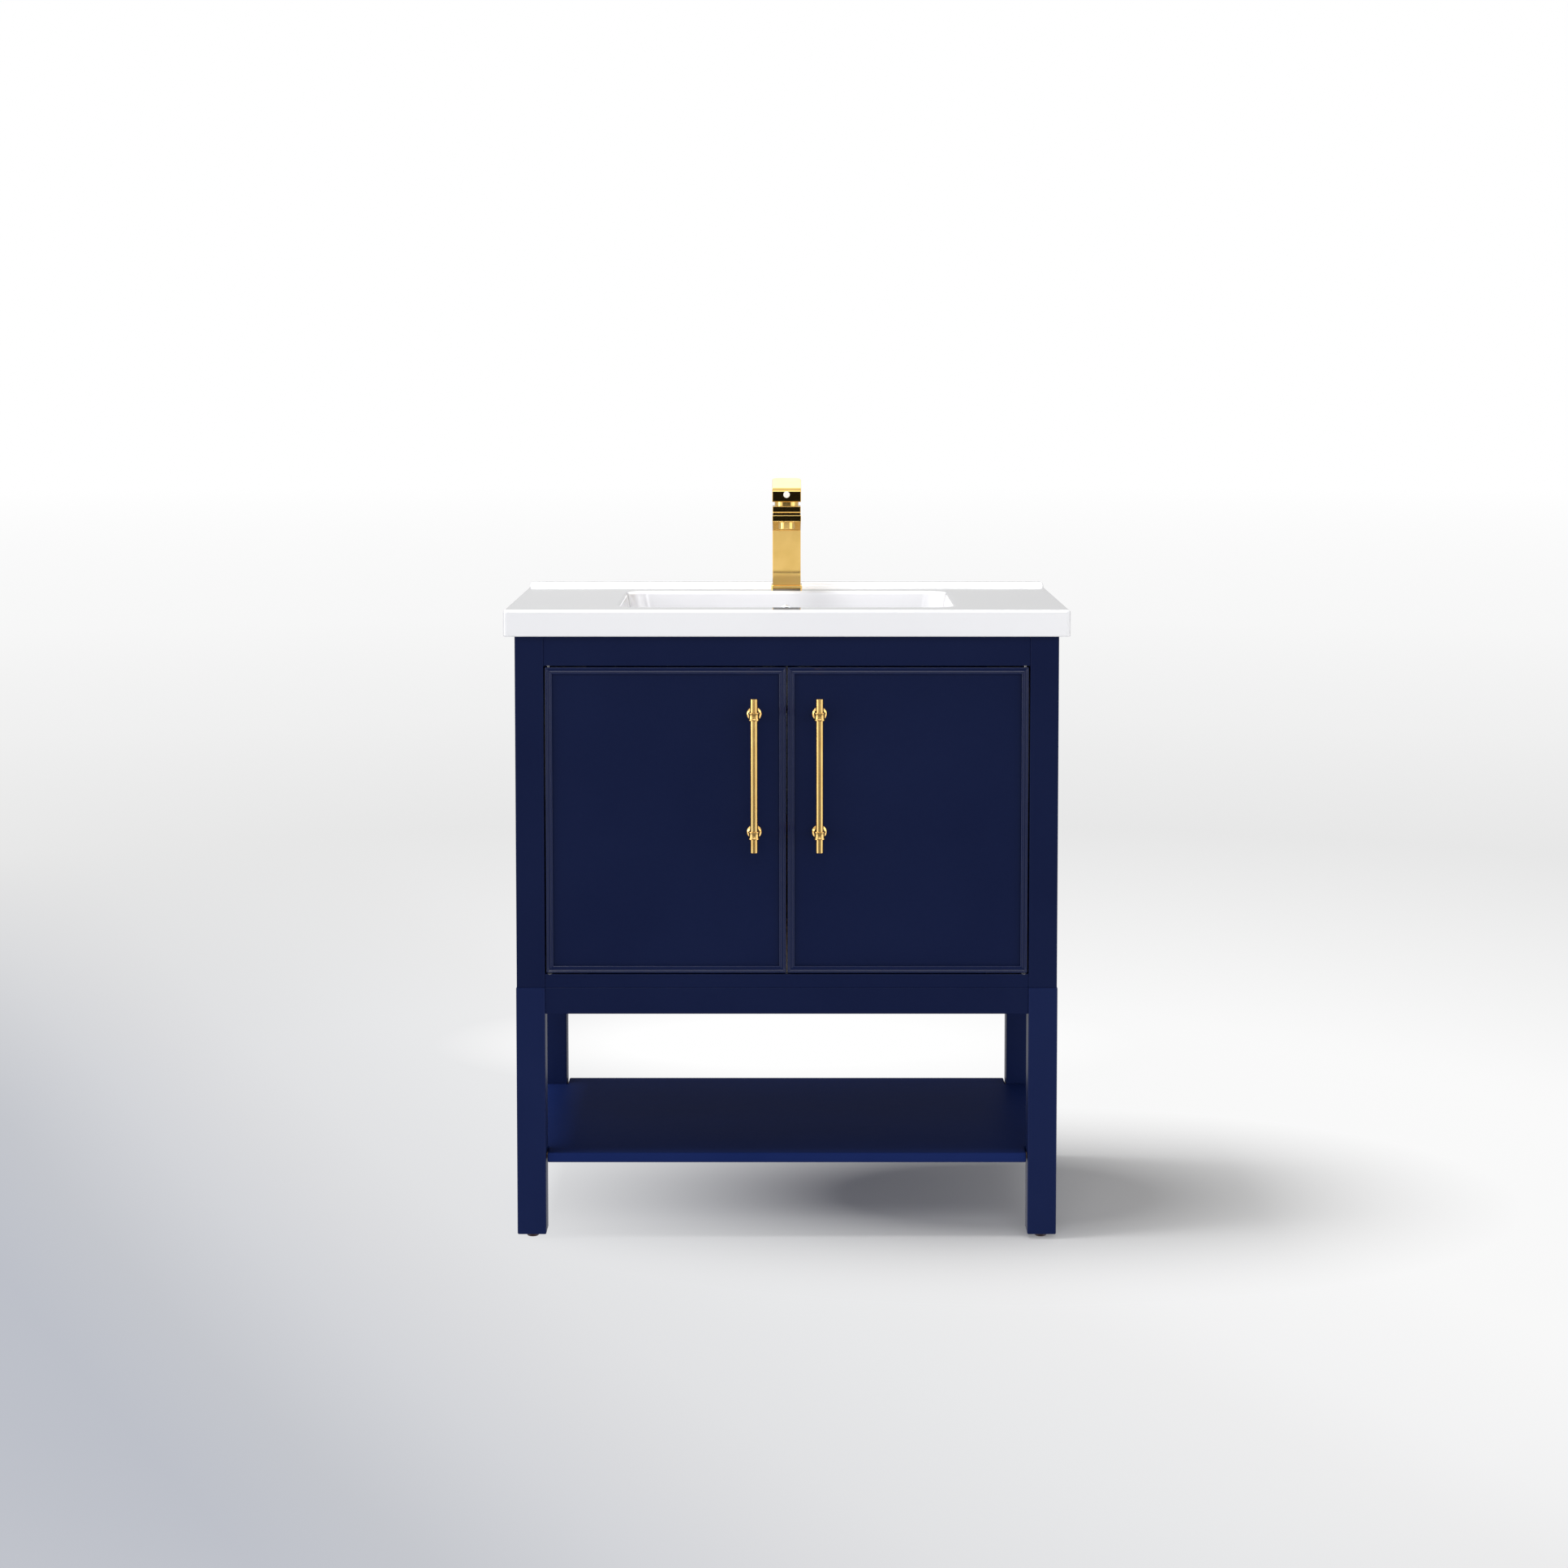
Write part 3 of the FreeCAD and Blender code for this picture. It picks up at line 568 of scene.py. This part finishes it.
def makeMoulding(label, side, look):
    low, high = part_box("door_moulding_" + side)
    centre = (low + high) / 2
    half = (high - low) / 2
    shape = bmesh.new()
    verts = []
    for inwards, out in millimetres(look["profile"]):
        reach = half.x - inwards
        verts.append(shape.verts.new((reach, half.y - out, reach)))
    edges = [shape.edges.new(pair) for pair in zip(verts, verts[1:] + verts[:1])]
    bmesh.ops.spin(
        shape, geom=verts + edges, cent=(0.0, 0.0, 0.0), axis=(0.0, 1.0, 0.0),
        angle=2.0 * math.pi, steps=4, use_merge=True,
    )
    bmesh.ops.remove_doubles(shape, verts=shape.verts, dist=near)
    bmesh.ops.recalc_face_normals(shape, faces=shape.faces)
    mitres = [edge for edge in shape.edges if all(onMitre(vert.co) for vert in edge.verts)]
    bevelEdges(shape, mitres, look["mitre"], 2)
    for vert in shape.verts:
        if onMitre(vert.co) and vert.co.y < half.y - look["sinkFrom"]:
            vert.co.y += look["sink"]
    stretch = half.z - half.x
    for vert in shape.verts:
        vert.co.z += math.copysign(stretch, vert.co.z)
    bmesh.ops.translate(shape, vec=centre, verts=shape.verts)
    finishPiece(shape, "doorMoulding" + label, ["door_moulding_" + side], look["crease"], "lacquerMoulding")


def onMitre(place):
    return abs(abs(place.x) - abs(place.z)) < near


slabLook = {"arris": 0.0008}


def makeSlab(label, side, look):
    node = "door_panel_" + side
    low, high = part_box(node)
    shape = block(low, high)
    bevelEdges(shape, shape.edges[:], look["arris"], 3)
    piece = finishPiece(shape, "doorSlab" + label, [node])
    cutSeats(piece, ["hinge_door_leaves_" + side, "door_fittings_" + side])


for label, side in sides:
    makeSlab(label, side, slabLook)
    makeMoulding(label, side, mouldingLook)
print("doors made")


# Pulls: a straight bar held by two turned posts, each with a flared foot and a spool
pullLook = {
    "barEnd": 0.0009, "barCurve": 0.3, "stemShort": 0.004, "steps": 48,
    "foot": [
        (0.0, 0.0), (9.6, 0.0), (9.8, 0.3), (9.8, 1.2), (9.3, 1.75), (7.4, 3.0), (6.1, 4.8), (5.4, 7.0),
        (5.0, 9.6),
    ],
    "spool": [
        (5.25, -5.3), (7.4, -5.3), (7.75, -5.1), (7.9, -4.75), (7.9, -4.0), (7.7, -3.65), (7.1, -2.7),
        (6.9, -2.1), (6.9, 2.1), (7.1, 2.7), (7.7, 3.65), (7.9, 4.0), (7.9, 4.75), (7.75, 5.1), (7.4, 5.3),
        (5.25, 5.3),
    ],
}


def makePull(label, side, look):
    low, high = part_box("pull_bar_" + side)
    centre = (low + high) / 2
    radius = (high.x - low.x) / 2
    half = (high.z - low.z) / 2
    soft = look["barEnd"]
    curve = soft * look["barCurve"]
    outline = [(0.0, -half), (radius - soft, -half), (radius - curve, -half + curve), (radius, -half + soft)]
    outline += [(wide, -height) for wide, height in reversed(outline)]
    bar = turnedShape(outline, look["steps"], False)
    placeShape(bar, centre)
    finishPiece(bar, "pullBar" + label, ["pull_bar_" + side])

    postLow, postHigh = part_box("pull_posts_" + side)
    spools = millimetres(look["spool"])
    reach = postHigh.y - centre.y - look["stemShort"]
    foot = millimetres(look["foot"])
    stem = foot + [(foot[-1][0], reach), (0.0, reach)]
    shape = bmesh.new()
    for z in (postLow.z + foot[1][0], postHigh.z - foot[1][0]):
        part = turnedShape(stem, look["steps"], False)
        placeShape(part, (centre.x, postHigh.y, z), toFront)
        addShape(shape, part)
        ring = turnedShape(spools, look["steps"], True)
        placeShape(ring, (centre.x, centre.y, z))
        addShape(shape, ring)
    finishPiece(shape, "pullPosts" + label, ["pull_posts_" + side])


for label, side in sides:
    makePull(label, side, pullLook)
print("pulls made")


# Sink: one loop carried from the rim down the bowl, round the outside and back, closed and softened
sinkLook = {
    "edge": 0.036, "lipHeight": 0.0055, "lipDepth": 0.018, "lipSoft": 0.005, "lipCuts": 7,
    "openHalf": 0.229, "openFront": 0.050, "openBack": 0.342, "corner": 0.032, "outerCorner": 0.006,
    "depth": 0.130, "draft": 0.026, "wall": 0.012, "skirt": 0.014, "deck": 0.014,
    "drain": 0.0225, "rimSoft": 0.0045, "floorSoft": 0.026, "edgeSoft": 0.0045, "footSoft": 0.0018,
    "overflowDrop": 0.031, "overflowHole": 0.008, "faucetHole": 0.0175, "boreLength": 0.040,
    "channelHalf": 0.020, "channelFoot": 0.020, "channelInset": 0.004, "channelBack": 0.010,
    "channelSoft": 0.005, "crease": 40.0,
}


# A loop is a rounded rectangle: each vertex keeps its corner and its direction from the corner's centre
def firstLoop(shape, half, y0, y1, z, radius):
    outline = ((-half, y0), (half, y0), (half, y1), (-half, y1))
    corners = [shape.verts.new((x, y, z)) for x, y in outline]
    shape.faces.new(corners)
    bmesh.ops.bevel(
        shape, geom=corners, offset=radius, offset_type="OFFSET", segments=8, profile=0.5,
        affect="VERTICES", material=-1,
    )
    bmesh.ops.delete(shape, geom=shape.faces[:], context="FACES_ONLY")
    loop = {}
    for vert in shape.verts:
        right = math.copysign(1.0, vert.co.x)
        back = math.copysign(1.0, vert.co.y - (y0 + y1) / 2)
        centre = cornerCentre(right, back, half, y0, y1, radius)
        loop[vert] = (right, back, (vert.co.x - centre[0]) / radius, (vert.co.y - centre[1]) / radius)
    return loop


def cornerCentre(right, back, half, y0, y1, radius):
    return right * (half - radius), y1 - radius if back > 0 else y0 + radius


def loopEdges(loop):
    return list({edge for vert in loop for edge in vert.link_edges if all(end in loop for end in edge.verts)})


def nextLoop(shape, loop, half, y0, y1, z, radius):
    made = bmesh.ops.extrude_edge_only(shape, edges=loopEdges(loop))["geom"]
    grown = {}
    for vert in [item for item in made if isinstance(item, bmesh.types.BMVert)]:
        old = [edge.other_vert(vert) for edge in vert.link_edges if edge.other_vert(vert) in loop][0]
        right, back, across, along = loop[old]
        centre = cornerCentre(right, back, half, y0, y1, radius)
        vert.co = (centre[0] + across * radius, centre[1] + along * radius, z)
        grown[vert] = loop[old]
    return grown


def makeSink(look):
    low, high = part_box("sink_top")
    deck = high.z - look["lipHeight"]
    foot = deck - look["edge"]
    floorZ = deck - look["depth"]
    half = high.x
    y0 = low.y + look["openFront"]
    y1 = low.y + look["openBack"]
    draft, wall, skirt = look["draft"], look["wall"], look["skirt"]
    under = deck - look["deck"]
    lean = draft * (look["deck"] / look["depth"])
    outer = look["openHalf"] + wall
    bellyCorner = look["corner"] + wall
    outerCorner = look["outerCorner"]
    drain = look["drain"]
    middle = (y0 + y1) / 2
    drainSides = (drain, middle - drain, middle + drain)
    rimSides = (look["openHalf"], y0, y1)
    floorSides = (look["openHalf"] - draft, y0 + draft, y1 - draft)
    bellyFootSides = (outer - draft, y0 + draft - wall, y1 - draft + wall)
    bellyTopSides = (outer - lean, y0 - wall + lean, y1 + wall - lean)
    insideSides = (half - skirt, low.y + skirt, high.y - skirt)
    outsideSides = (half, low.y, high.y)
    shape = bmesh.new()
    rim = firstLoop(shape, *rimSides, deck, look["corner"])
    floorLoop = nextLoop(shape, rim, *floorSides, floorZ, look["corner"])
    drainTop = nextLoop(shape, floorLoop, *drainSides, floorZ, drain)
    drainFoot = nextLoop(shape, drainTop, *drainSides, floorZ - wall, drain)
    bellyFoot = nextLoop(shape, drainFoot, *bellyFootSides, floorZ - wall, bellyCorner)
    bellyTop = nextLoop(shape, bellyFoot, *bellyTopSides, under, bellyCorner)
    inTop = nextLoop(shape, bellyTop, *insideSides, under, outerCorner)
    inFoot = nextLoop(shape, inTop, *insideSides, foot, outerCorner)
    outFoot = nextLoop(shape, inFoot, *outsideSides, foot, outerCorner)
    outTop = nextLoop(shape, outFoot, *outsideSides, deck, outerCorner)
    nextLoop(shape, outTop, *rimSides, deck, look["corner"])
    bmesh.ops.remove_doubles(shape, verts=[vert for vert in shape.verts if vert not in outTop], dist=near)
    bmesh.ops.recalc_face_normals(shape, faces=shape.faces)
    opening = {vert for vert in shape.verts if abs(vert.co.z - deck) < near and vert not in outTop}
    bevelEdges(shape, loopEdges(floorLoop), look["floorSoft"], 8)
    bevelEdges(shape, loopEdges(bellyFoot), look["floorSoft"], 6)
    bevelEdges(shape, loopEdges(opening), look["rimSoft"], 5)
    bevelEdges(shape, loopEdges(outTop), look["edgeSoft"], 5)
    bevelEdges(shape, loopEdges(outFoot), look["footSoft"], 3)
    raiseLip(shape, look, high.y, deck)
    sink = finishPiece(shape, "sinkTop", ["sink_top", "sink_bowl"], look["crease"])

    # The overflow's channel behind the bowl, its hole, and the faucet's hole
    slope = draft / look["depth"]
    wide, inset = look["channelHalf"], look["channelInset"]
    channelLow = Vector((-wide, y1 + inset, floorZ + look["channelFoot"]))
    channelHigh = Vector((wide, y1 + wall + look["channelBack"], under + inset))
    channel = block(channelLow, channelHigh)
    bevelEdges(channel, uprightEdges(channel), look["channelSoft"], 3)
    for vert in channel.verts:
        vert.co.y -= slope * (deck - vert.co.z)
    applyCut(sink, meshOf(channel), "UNION")
    cutBore(sink, look["overflowHole"], look["boreLength"], overflowPlace(look, y1, deck), overflowTurn(slope))
    faucetLow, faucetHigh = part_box("faucet_shank")
    faucetPlace = (0.0, (faucetLow.y + faucetHigh.y) / 2, deck - look["deck"] / 2)
    cutBore(sink, look["faucetHole"], look["boreLength"], faucetPlace)


def cutBore(piece, radius, length, place, turn=None):
    bore = bmesh.new()
    bmesh.ops.create_cone(bore, cap_ends=True, segments=40, radius1=radius, radius2=radius, depth=length)
    placeShape(bore, place, turn)
    applyCut(piece, meshOf(bore), "DIFFERENCE")


def meshOf(shape):
    mesh = bpy.data.meshes.new("cutter")
    bmesh.ops.recalc_face_normals(shape, faces=shape.faces)
    shape.to_mesh(mesh)
    shape.free()
    return mesh


def overflowPlace(look, wallY, deck):
    drop = look["overflowDrop"]
    return Vector((0.0, wallY - drop * look["draft"] / look["depth"], deck - drop))


def overflowTurn(slope):
    return Matrix.Rotation(math.radians(90.0) - math.atan(slope), 3, "X")


def raiseLip(shape, look, backY, deck):
    start = backY - look["lipDepth"]
    soft = look["lipSoft"]
    for part in range(look["lipCuts"]):
        place = (0.0, start + soft * (2.0 * part / (look["lipCuts"] - 1) - 1.0), 0.0)
        geometry = shape.verts[:] + shape.edges[:] + shape.faces[:]
        bmesh.ops.bisect_plane(shape, geom=geometry, dist=1e-7, plane_co=place, plane_no=(0.0, 1.0, 0.0))
    for vert in shape.verts:
        if vert.co.z > deck - look["edgeSoft"] - 10.0 * near:
            share = min(max((vert.co.y - start + soft) / (2.0 * soft), 0.0), 1.0)
            vert.co.z += look["lipHeight"] * share * share * (3.0 - 2.0 * share)


makeSink(sinkLook)
print("sink made")


# Overflow ring and stopper
drainLook = {
    "ring": [
        (6.5, -9.0), (7.9, -9.0), (7.9, 0.05), (10.7, 0.05), (11.0, 0.25), (11.0, 0.8), (10.5, 1.35),
        (9.2, 1.75), (7.6, 1.8), (6.8, 1.5), (6.5, 1.0),
    ],
    "stopper": [
        (0.0, 2.9), (20.0, 2.9), (25.4, 3.9), (26.6, 4.5), (27.0, 5.2), (26.5, 5.9), (24.0, 6.8),
        (18.0, 7.6), (9.0, 8.05), (0.0, 8.2),
    ],
    "stopperHeight": 0.0082, "rodRadius": 0.0040, "rodSoft": 0.0006, "rodTop": 0.0035,
}


def makeOverflow(look, sink):
    low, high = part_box("sink_top")
    shape = turnedShape(millimetres(look["ring"]), 56, True)
    deck = high.z - sink["lipHeight"]
    place = overflowPlace(sink, low.y + sink["openBack"], deck)
    placeShape(shape, place, overflowTurn(sink["draft"] / sink["depth"]))
    finishPiece(shape, "overflowRing", ["overflow_ring"])


def makeStopper(look):
    low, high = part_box("drain_stopper")
    centre = (low + high) / 2
    base = high.z - look["stopperHeight"]
    shape = turnedShape(millimetres(look["stopper"]), 64, False)
    placeShape(shape, (centre.x, centre.y, base))
    wide, soft, top = look["rodRadius"], look["rodSoft"], look["rodTop"]
    foot = low.z - base
    outline = [(0.0, foot), (wide - soft, foot), (wide, foot + soft), (wide, top), (0.0, top)]
    rod = turnedShape(outline, 32, False)
    placeShape(rod, (centre.x, centre.y, base))
    addShape(shape, rod)
    finishPiece(shape, "drainStopper", ["drain_stopper"])


makeOverflow(drainLook, sinkLook)
makeStopper(drainLook)
print("overflow and stopper made")


# Faucet: side outlines in millimetres from the faucet's middle and the deck
faucetLook = {
    "square": 41.0, "handleWidth": 42.0,
    "body": [
        (-20.5, 6.0), (-20.5, 86.0), (-112.0, 104.0), (-111.55, 112.5), (-20.5, 112.5), (-20.0, 121.3),
        (20.5, 121.3), (20.5, 6.0),
    ],
    "handle": [(-20.5, 127.6), (-19.9, 143.3), (-17.5, 147.8), (28.8, 161.0), (29.0, 136.0), (12.0, 127.6)],
    "bodySoft": 0.0007, "plateSoft": 0.0012, "plateCorner": 0.003,
    "handleSoft": 0.0009, "handleCorner": 0.0075, "handleBack": 0.0285, "handleShort": 0.03,
    "handleFold": 25.0,
    "slotLow": (-0.0046, 0.0035, 0.120), "slotHigh": (0.0046, 0.0205, 0.141),
    "aerator": [
        (7.2, 1.2), (7.5, 0.3), (8.0, 0.0), (10.7, 0.0), (11.2, 0.5), (11.2, 12.0), (9.0, 12.0), (9.0, 13.0),
        (7.2, 13.0),
    ],
    "screen": [(0.0, 1.6), (7.3, 1.6), (7.3, 2.6), (0.0, 2.6)],
    "dot": [(0.0, -2.0), (4.7, -2.0), (4.7, 0.10), (4.5, 0.28), (4.0, 0.38), (0.0, 0.40)],
    "dotProud": 0.0004,
}


def sideBlock(points, width, origin):
    shape = bmesh.new()
    verts = []
    for y, z in points:
        verts.append(shape.verts.new((-width / 2000.0, origin.y + y / 1000.0, origin.z + z / 1000.0)))
    outline = shape.faces.new(verts)
    pushed = bmesh.ops.extrude_face_region(shape, geom=[outline])["geom"]
    moved = [item for item in pushed if isinstance(item, bmesh.types.BMVert)]
    bmesh.ops.translate(shape, vec=(width / 1000.0, 0.0, 0.0), verts=moved)
    bmesh.ops.recalc_face_normals(shape, faces=shape.faces)
    return shape


def makeFaucet(look):
    low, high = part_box("faucet_base_plate")
    origin = Vector((0.0, (low.y + high.y) / 2, low.z))
    plate = block(low, high)
    bevelEdges(plate, uprightEdges(plate), look["plateCorner"], 5)
    bevelEdges(plate, edgesAtHeight(plate, high.z), look["plateSoft"], 3)
    finishPiece(plate, "faucetPlate", ["faucet_base_plate"])

    body = sideBlock(look["body"], look["square"], origin)
    bevelEdges(body, body.edges[:], look["bodySoft"], 3)
    finishPiece(body, "faucetBody", ["faucet_body"])

    handle = sideBlock(look["handle"], look["handleWidth"], origin)
    behind = origin.y + look["handleBack"]
    back = [edge for edge in handle.edges if all(vert.co.y > behind for vert in edge.verts)]
    upright = [edge for edge in back if edge.calc_length() < look["handleShort"]]
    bevelEdges(handle, upright, look["handleCorner"], 6)
    fold = math.radians(look["handleFold"])
    sharp = [edge for edge in handle.edges if edge.calc_face_angle(0.0) > fold]
    bevelEdges(handle, sharp, look["handleSoft"], 3)
    piece = finishPiece(handle, "faucetHandle", ["faucet_handle"])
    slot = block(origin + Vector(look["slotLow"]), origin + Vector(look["slotHigh"]))
    applyCut(piece, meshOf(slot), "DIFFERENCE")

    aeratorLow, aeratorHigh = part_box("faucet_aerator")
    centre = (aeratorLow + aeratorHigh) / 2
    ring = turnedShape(millimetres(look["aerator"]), 48, True)
    screen = turnedShape(millimetres(look["screen"]), 48, False)
    addShape(ring, screen)
    placeShape(ring, (centre.x, centre.y, aeratorLow.z))
    finishPiece(ring, "faucetAerator", ["faucet_aerator"])

    dotLow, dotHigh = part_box("faucet_indicator")
    dotCentre = (dotLow + dotHigh) / 2
    dot = turnedShape(millimetres(look["dot"]), 40, False)
    placeShape(dot, (dotCentre.x, dotLow.y + look["dotProud"], dotCentre.z), toFront)
    finishPiece(dot, "faucetDot", ["faucet_indicator"])


makeFaucet(faucetLook)
print("faucet made")


# Glides under the legs
glideLook = {
    "outline": [
        (0.0, 0.0), (5.6, 0.0), (7.0, 0.35), (7.9, 1.1), (8.4, 2.2), (8.5, 3.4), (8.5, 6.5), (2.5, 6.5),
        (2.5, 20.0), (0.0, 20.0),
    ],
}


def makeGlides(look):
    shape = bmesh.new()
    for leg in ("leg_front_left", "leg_back_left", "leg_front_right", "leg_back_right"):
        low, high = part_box(leg)
        glide = turnedShape(millimetres(look["outline"]), 40, False)
        placeShape(glide, ((low.x + high.x) / 2, (low.y + high.y) / 2, 0.0))
        addShape(shape, glide)
    finishPiece(shape, "footGlides", ["foot_glides"])


makeGlides(glideLook)
print("glides made")


# Plain pale floor, darker and cooler towards the front left. Away from the cabinet it glows evenly, so it runs
# out into the pale surroundings without a line. The glow also paints light over the cabinet's own shadow, a
# little right under it and more towards the shadow's edges, so that the shadow fades out; behind the cabinet a
# white patch of painted light covers the floor seen through the open bay
floorLook = {
    "size": 60.0, "cells": 8, "slant": 0.45, "slowing": 0.06, "from": -1.2, "to": 1.6,
    "tones": (
        (0.00, (0.51, 0.53, 0.585)), (0.06, (0.555, 0.57, 0.61)), (0.139, (0.655, 0.665, 0.695)),
        (0.196, (0.71, 0.715, 0.735)), (0.25, (0.755, 0.76, 0.775)), (0.351, (0.805, 0.81, 0.82)),
        (0.457, (0.85, 0.85, 0.855)), (0.52, (0.89, 0.89, 0.895)), (0.66, (0.94, 0.94, 0.94)),
        (1.0, (0.96, 0.96, 0.96)),
    ),
    # Painted light over the shadow: the glow is least (3%) round a middle to the right of the cabinet and grows
    # to full between fadeFrom and fadeTo
    "middle": (0.30, 0.02), "squash": 1.4, "least": 0.03, "fadeFrom": 0.22, "fadeTo": 0.75,
    "reach": 30.0,
    "distance": ((0.05, 0.72), (0.08, 0.765), (0.14, 0.82), (0.20, 0.87), (0.33, 0.93), (0.83, 1.0)),
    "blend": ((0.045, 0.0), (0.12, 1.0)),
    # Painted light: a white patch on the floor behind the cabinet, seen through the open bay, where the
    # cabinet's shadow falls
    "bay": (0.0, 1.02), "baySquash": 1.6, "bayFrom": 0.62, "bayTo": 0.30, "bayPaintedLightTone": (1.0, 1.0, 1.0),
}


def makeFloor(look):
    shape = bmesh.new()
    bmesh.ops.create_grid(shape, x_segments=look["cells"], y_segments=look["cells"], size=look["size"])
    mesh = bpy.data.meshes.new("studioFloor")
    shape.to_mesh(mesh)
    shape.free()
    ground = bpy.data.objects.new("studioFloor", mesh)
    bpy.context.scene.collection.objects.link(ground)
    ground.visible_glossy = False
    finish = Finish("paleFloor")
    x = finish.node("ShaderNodeSeparateXYZ", {}, {0: finish.place}, "X")
    y = finish.node("ShaderNodeSeparateXYZ", {}, {0: finish.place}, "Y")

    def spread(middle, squash, start, end, least=0.0):
        across = x - middle[0]
        along = (y - middle[1]) * squash
        away = (across * across + along * along) ** 0.5
        return finish.rise((away - start) * (1.0 / (end - start)), 0.0, 1.0, least)

    slowly = y * (y * look["slowing"] + 1.0) ** -1.0
    along = (x + slowly * look["slant"] - look["from"]) * (1.0 / (look["to"] - look["from"]))
    tone = finish.ramp(along, look["tones"])
    # Painted light: the floor behind the cabinet is whitened where its shadow falls
    bay = spread(look["bay"], look["baySquash"], look["bayFrom"], look["bayTo"])
    colour = finish.mix(bay, tone, look["bayPaintedLightTone"])
    away = (x * x + y * y) ** 0.5 * (1.0 / look["reach"])
    colour = finish.mix(finish.ramp(away, look["blend"]), colour, finish.ramp(away, look["distance"]))
    # Painted light: this share of glow lightens the real shadow round the cabinet, and further out it becomes
    # the even backdrop
    glowAndPaintedLight = spread(look["middle"], look["squash"], look["fadeFrom"], look["fadeTo"], look["least"])
    glow = finish.node("ShaderNodeEmission", {}, {"Color": colour, "Strength": 1.0})
    matt = finish.node("ShaderNodeBsdfDiffuse", {}, {"Color": colour})
    blended = finish.node("ShaderNodeMixShader", {}, {0: glowAndPaintedLight, 1: matt, 2: glow})
    output = finish.tree.nodes["Material Output"]
    finish.tree.links.new(blended.socket, output.inputs["Surface"])
    mesh.materials.append(finish.material)


makeFloor(floorLook)

# Soft studio light: a key from above on the left, a wide fill from high in front, a weak lamp on either side
lights = {
    "keyTop": {"place": (-0.95, -0.05, 3.3), "aim": (0.1, 0.0, 0.3), "size": (1.3, 1.0), "power": 74.0},
    "frontHigh": {"place": (0.4, -4.2, 3.4), "aim": (0.0, 0.0, 0.5), "size": (3.2, 1.6), "power": 39.0},
    "leftSide": {"place": (-3.2, -0.6, 1.0), "aim": (0.0, 0.0, 0.4), "size": (1.2, 1.4), "power": 14.0},
    "rightSide": {"place": (3.4, -1.2, 1.6), "aim": (0.0, 0.0, 0.5), "size": (0.8, 2.0), "power": 4.5},
}


def makeLights(rows):
    for name, row in rows.items():
        data = bpy.data.lights.new(name, "AREA")
        data.shape = "RECTANGLE"
        data.size, data.size_y = row["size"]
        data.energy = row["power"]
        lamp = bpy.data.objects.new(name, data)
        place = Vector(row["place"])
        lamp.location = place
        lamp.rotation_euler = (Vector(row["aim"]) - place).to_track_quat("-Z", "Y").to_euler()
        lamp.visible_camera = False
        bpy.context.scene.collection.objects.link(lamp)


makeLights(lights)

# Surroundings: pale to the eye, with a fill from in front. Reflections looking ahead meet a strip of pale
# floor, a dark wall with a bright window on either side, and a bright ceiling; looking behind, an even wall
worldLook = {
    "seen": 1.0, "ambient": 0.20, "front": 1.95,
    "ahead": (
        (0.0, 0.30), (0.440, 0.20), (0.449, 0.94), (0.4725, 0.92), (0.4745, 0.010), (0.70, 0.02),
        (0.78, 0.95), (1.0, 0.95),
    ),
    "behind": (
        (0.0, 0.40), (0.480, 0.62), (0.550, 0.62), (0.570, 0.36), (0.66, 0.36), (0.72, 2.4), (1.0, 1.6),
    ),
    "band": ((0.30, 0.0), (0.36, 1.0), (0.64, 1.0), (0.70, 0.0)),
    "facing": ((0.30, 1.0), (0.48, 0.0)),
    "rear": ((0.49, 0.0), (0.51, 1.0)),
    "windows": ((0.0, 1.0), (0.13, 1.0), (0.21, 0.0), (0.79, 0.0), (0.87, 1.0), (1.0, 1.0)),
    "windowLight": 1.35,
}


class Surroundings(Finish):
    def __init__(self, name):
        self.world = bpy.data.worlds.new(name)
        self.world.use_nodes = True
        self.tree = self.world.node_tree
        bpy.context.scene.world = self.world

        self.direction = self.node("ShaderNodeTexCoord", {}, {}, "Generated")

    def halved(self, axis):
        return self.node("ShaderNodeSeparateXYZ", {}, {0: self.direction}, axis) * 0.5 + 0.5

    def pick(self, factor, first, second):
        return self.node("ShaderNodeMix", {}, {0: factor, 2: first, 3: second})


def makeWorld(look):
    studio = Surroundings("studio")
    up = studio.halved("Z")
    along = studio.halved("Y")
    fill = look["ambient"] + studio.ramp(up, look["band"]) * studio.ramp(along, look["facing"]) * look["front"]
    aside = studio.ramp(studio.halved("X"), look["windows"])
    ahead = studio.pick(aside, studio.ramp(up, look["ahead"]), look["windowLight"])
    mirror = studio.pick(studio.ramp(along, look["rear"]), ahead, studio.ramp(up, look["behind"]))
    shiny = studio.node("ShaderNodeLightPath", {}, {}, "Is Glossy Ray")
    camera = studio.node("ShaderNodeLightPath", {}, {}, "Is Camera Ray")
    shown = studio.pick(camera, studio.pick(shiny, fill, mirror), look["seen"])
    background = studio.tree.nodes["Background"]
    studio.join(shown, background.inputs["Color"])


makeWorld(worldLook)

cameraLook = {
    "place": (-0.0038, -4.3915, 1.1987), "tilt": 0.075, "lens": 71.66, "shiftUp": -0.122,
    "sensor": 36.0, "farthest": 200.0,
}


def makeCamera(look):
    data = bpy.data.cameras.new("camera")
    data.lens = look["lens"]
    data.sensor_width = look["sensor"]
    data.shift_y = look["shiftUp"]
    data.clip_end = look["farthest"]
    camera = bpy.data.objects.new("camera", data)
    camera.location = look["place"]
    camera.rotation_euler = (math.radians(90.0) - look["tilt"], 0.0, 0.0)
    bpy.context.scene.collection.objects.link(camera)
    bpy.context.scene.camera = camera


makeCamera(cameraLook)
bpy.context.scene.view_settings.view_transform = "Standard"
print("studio made")
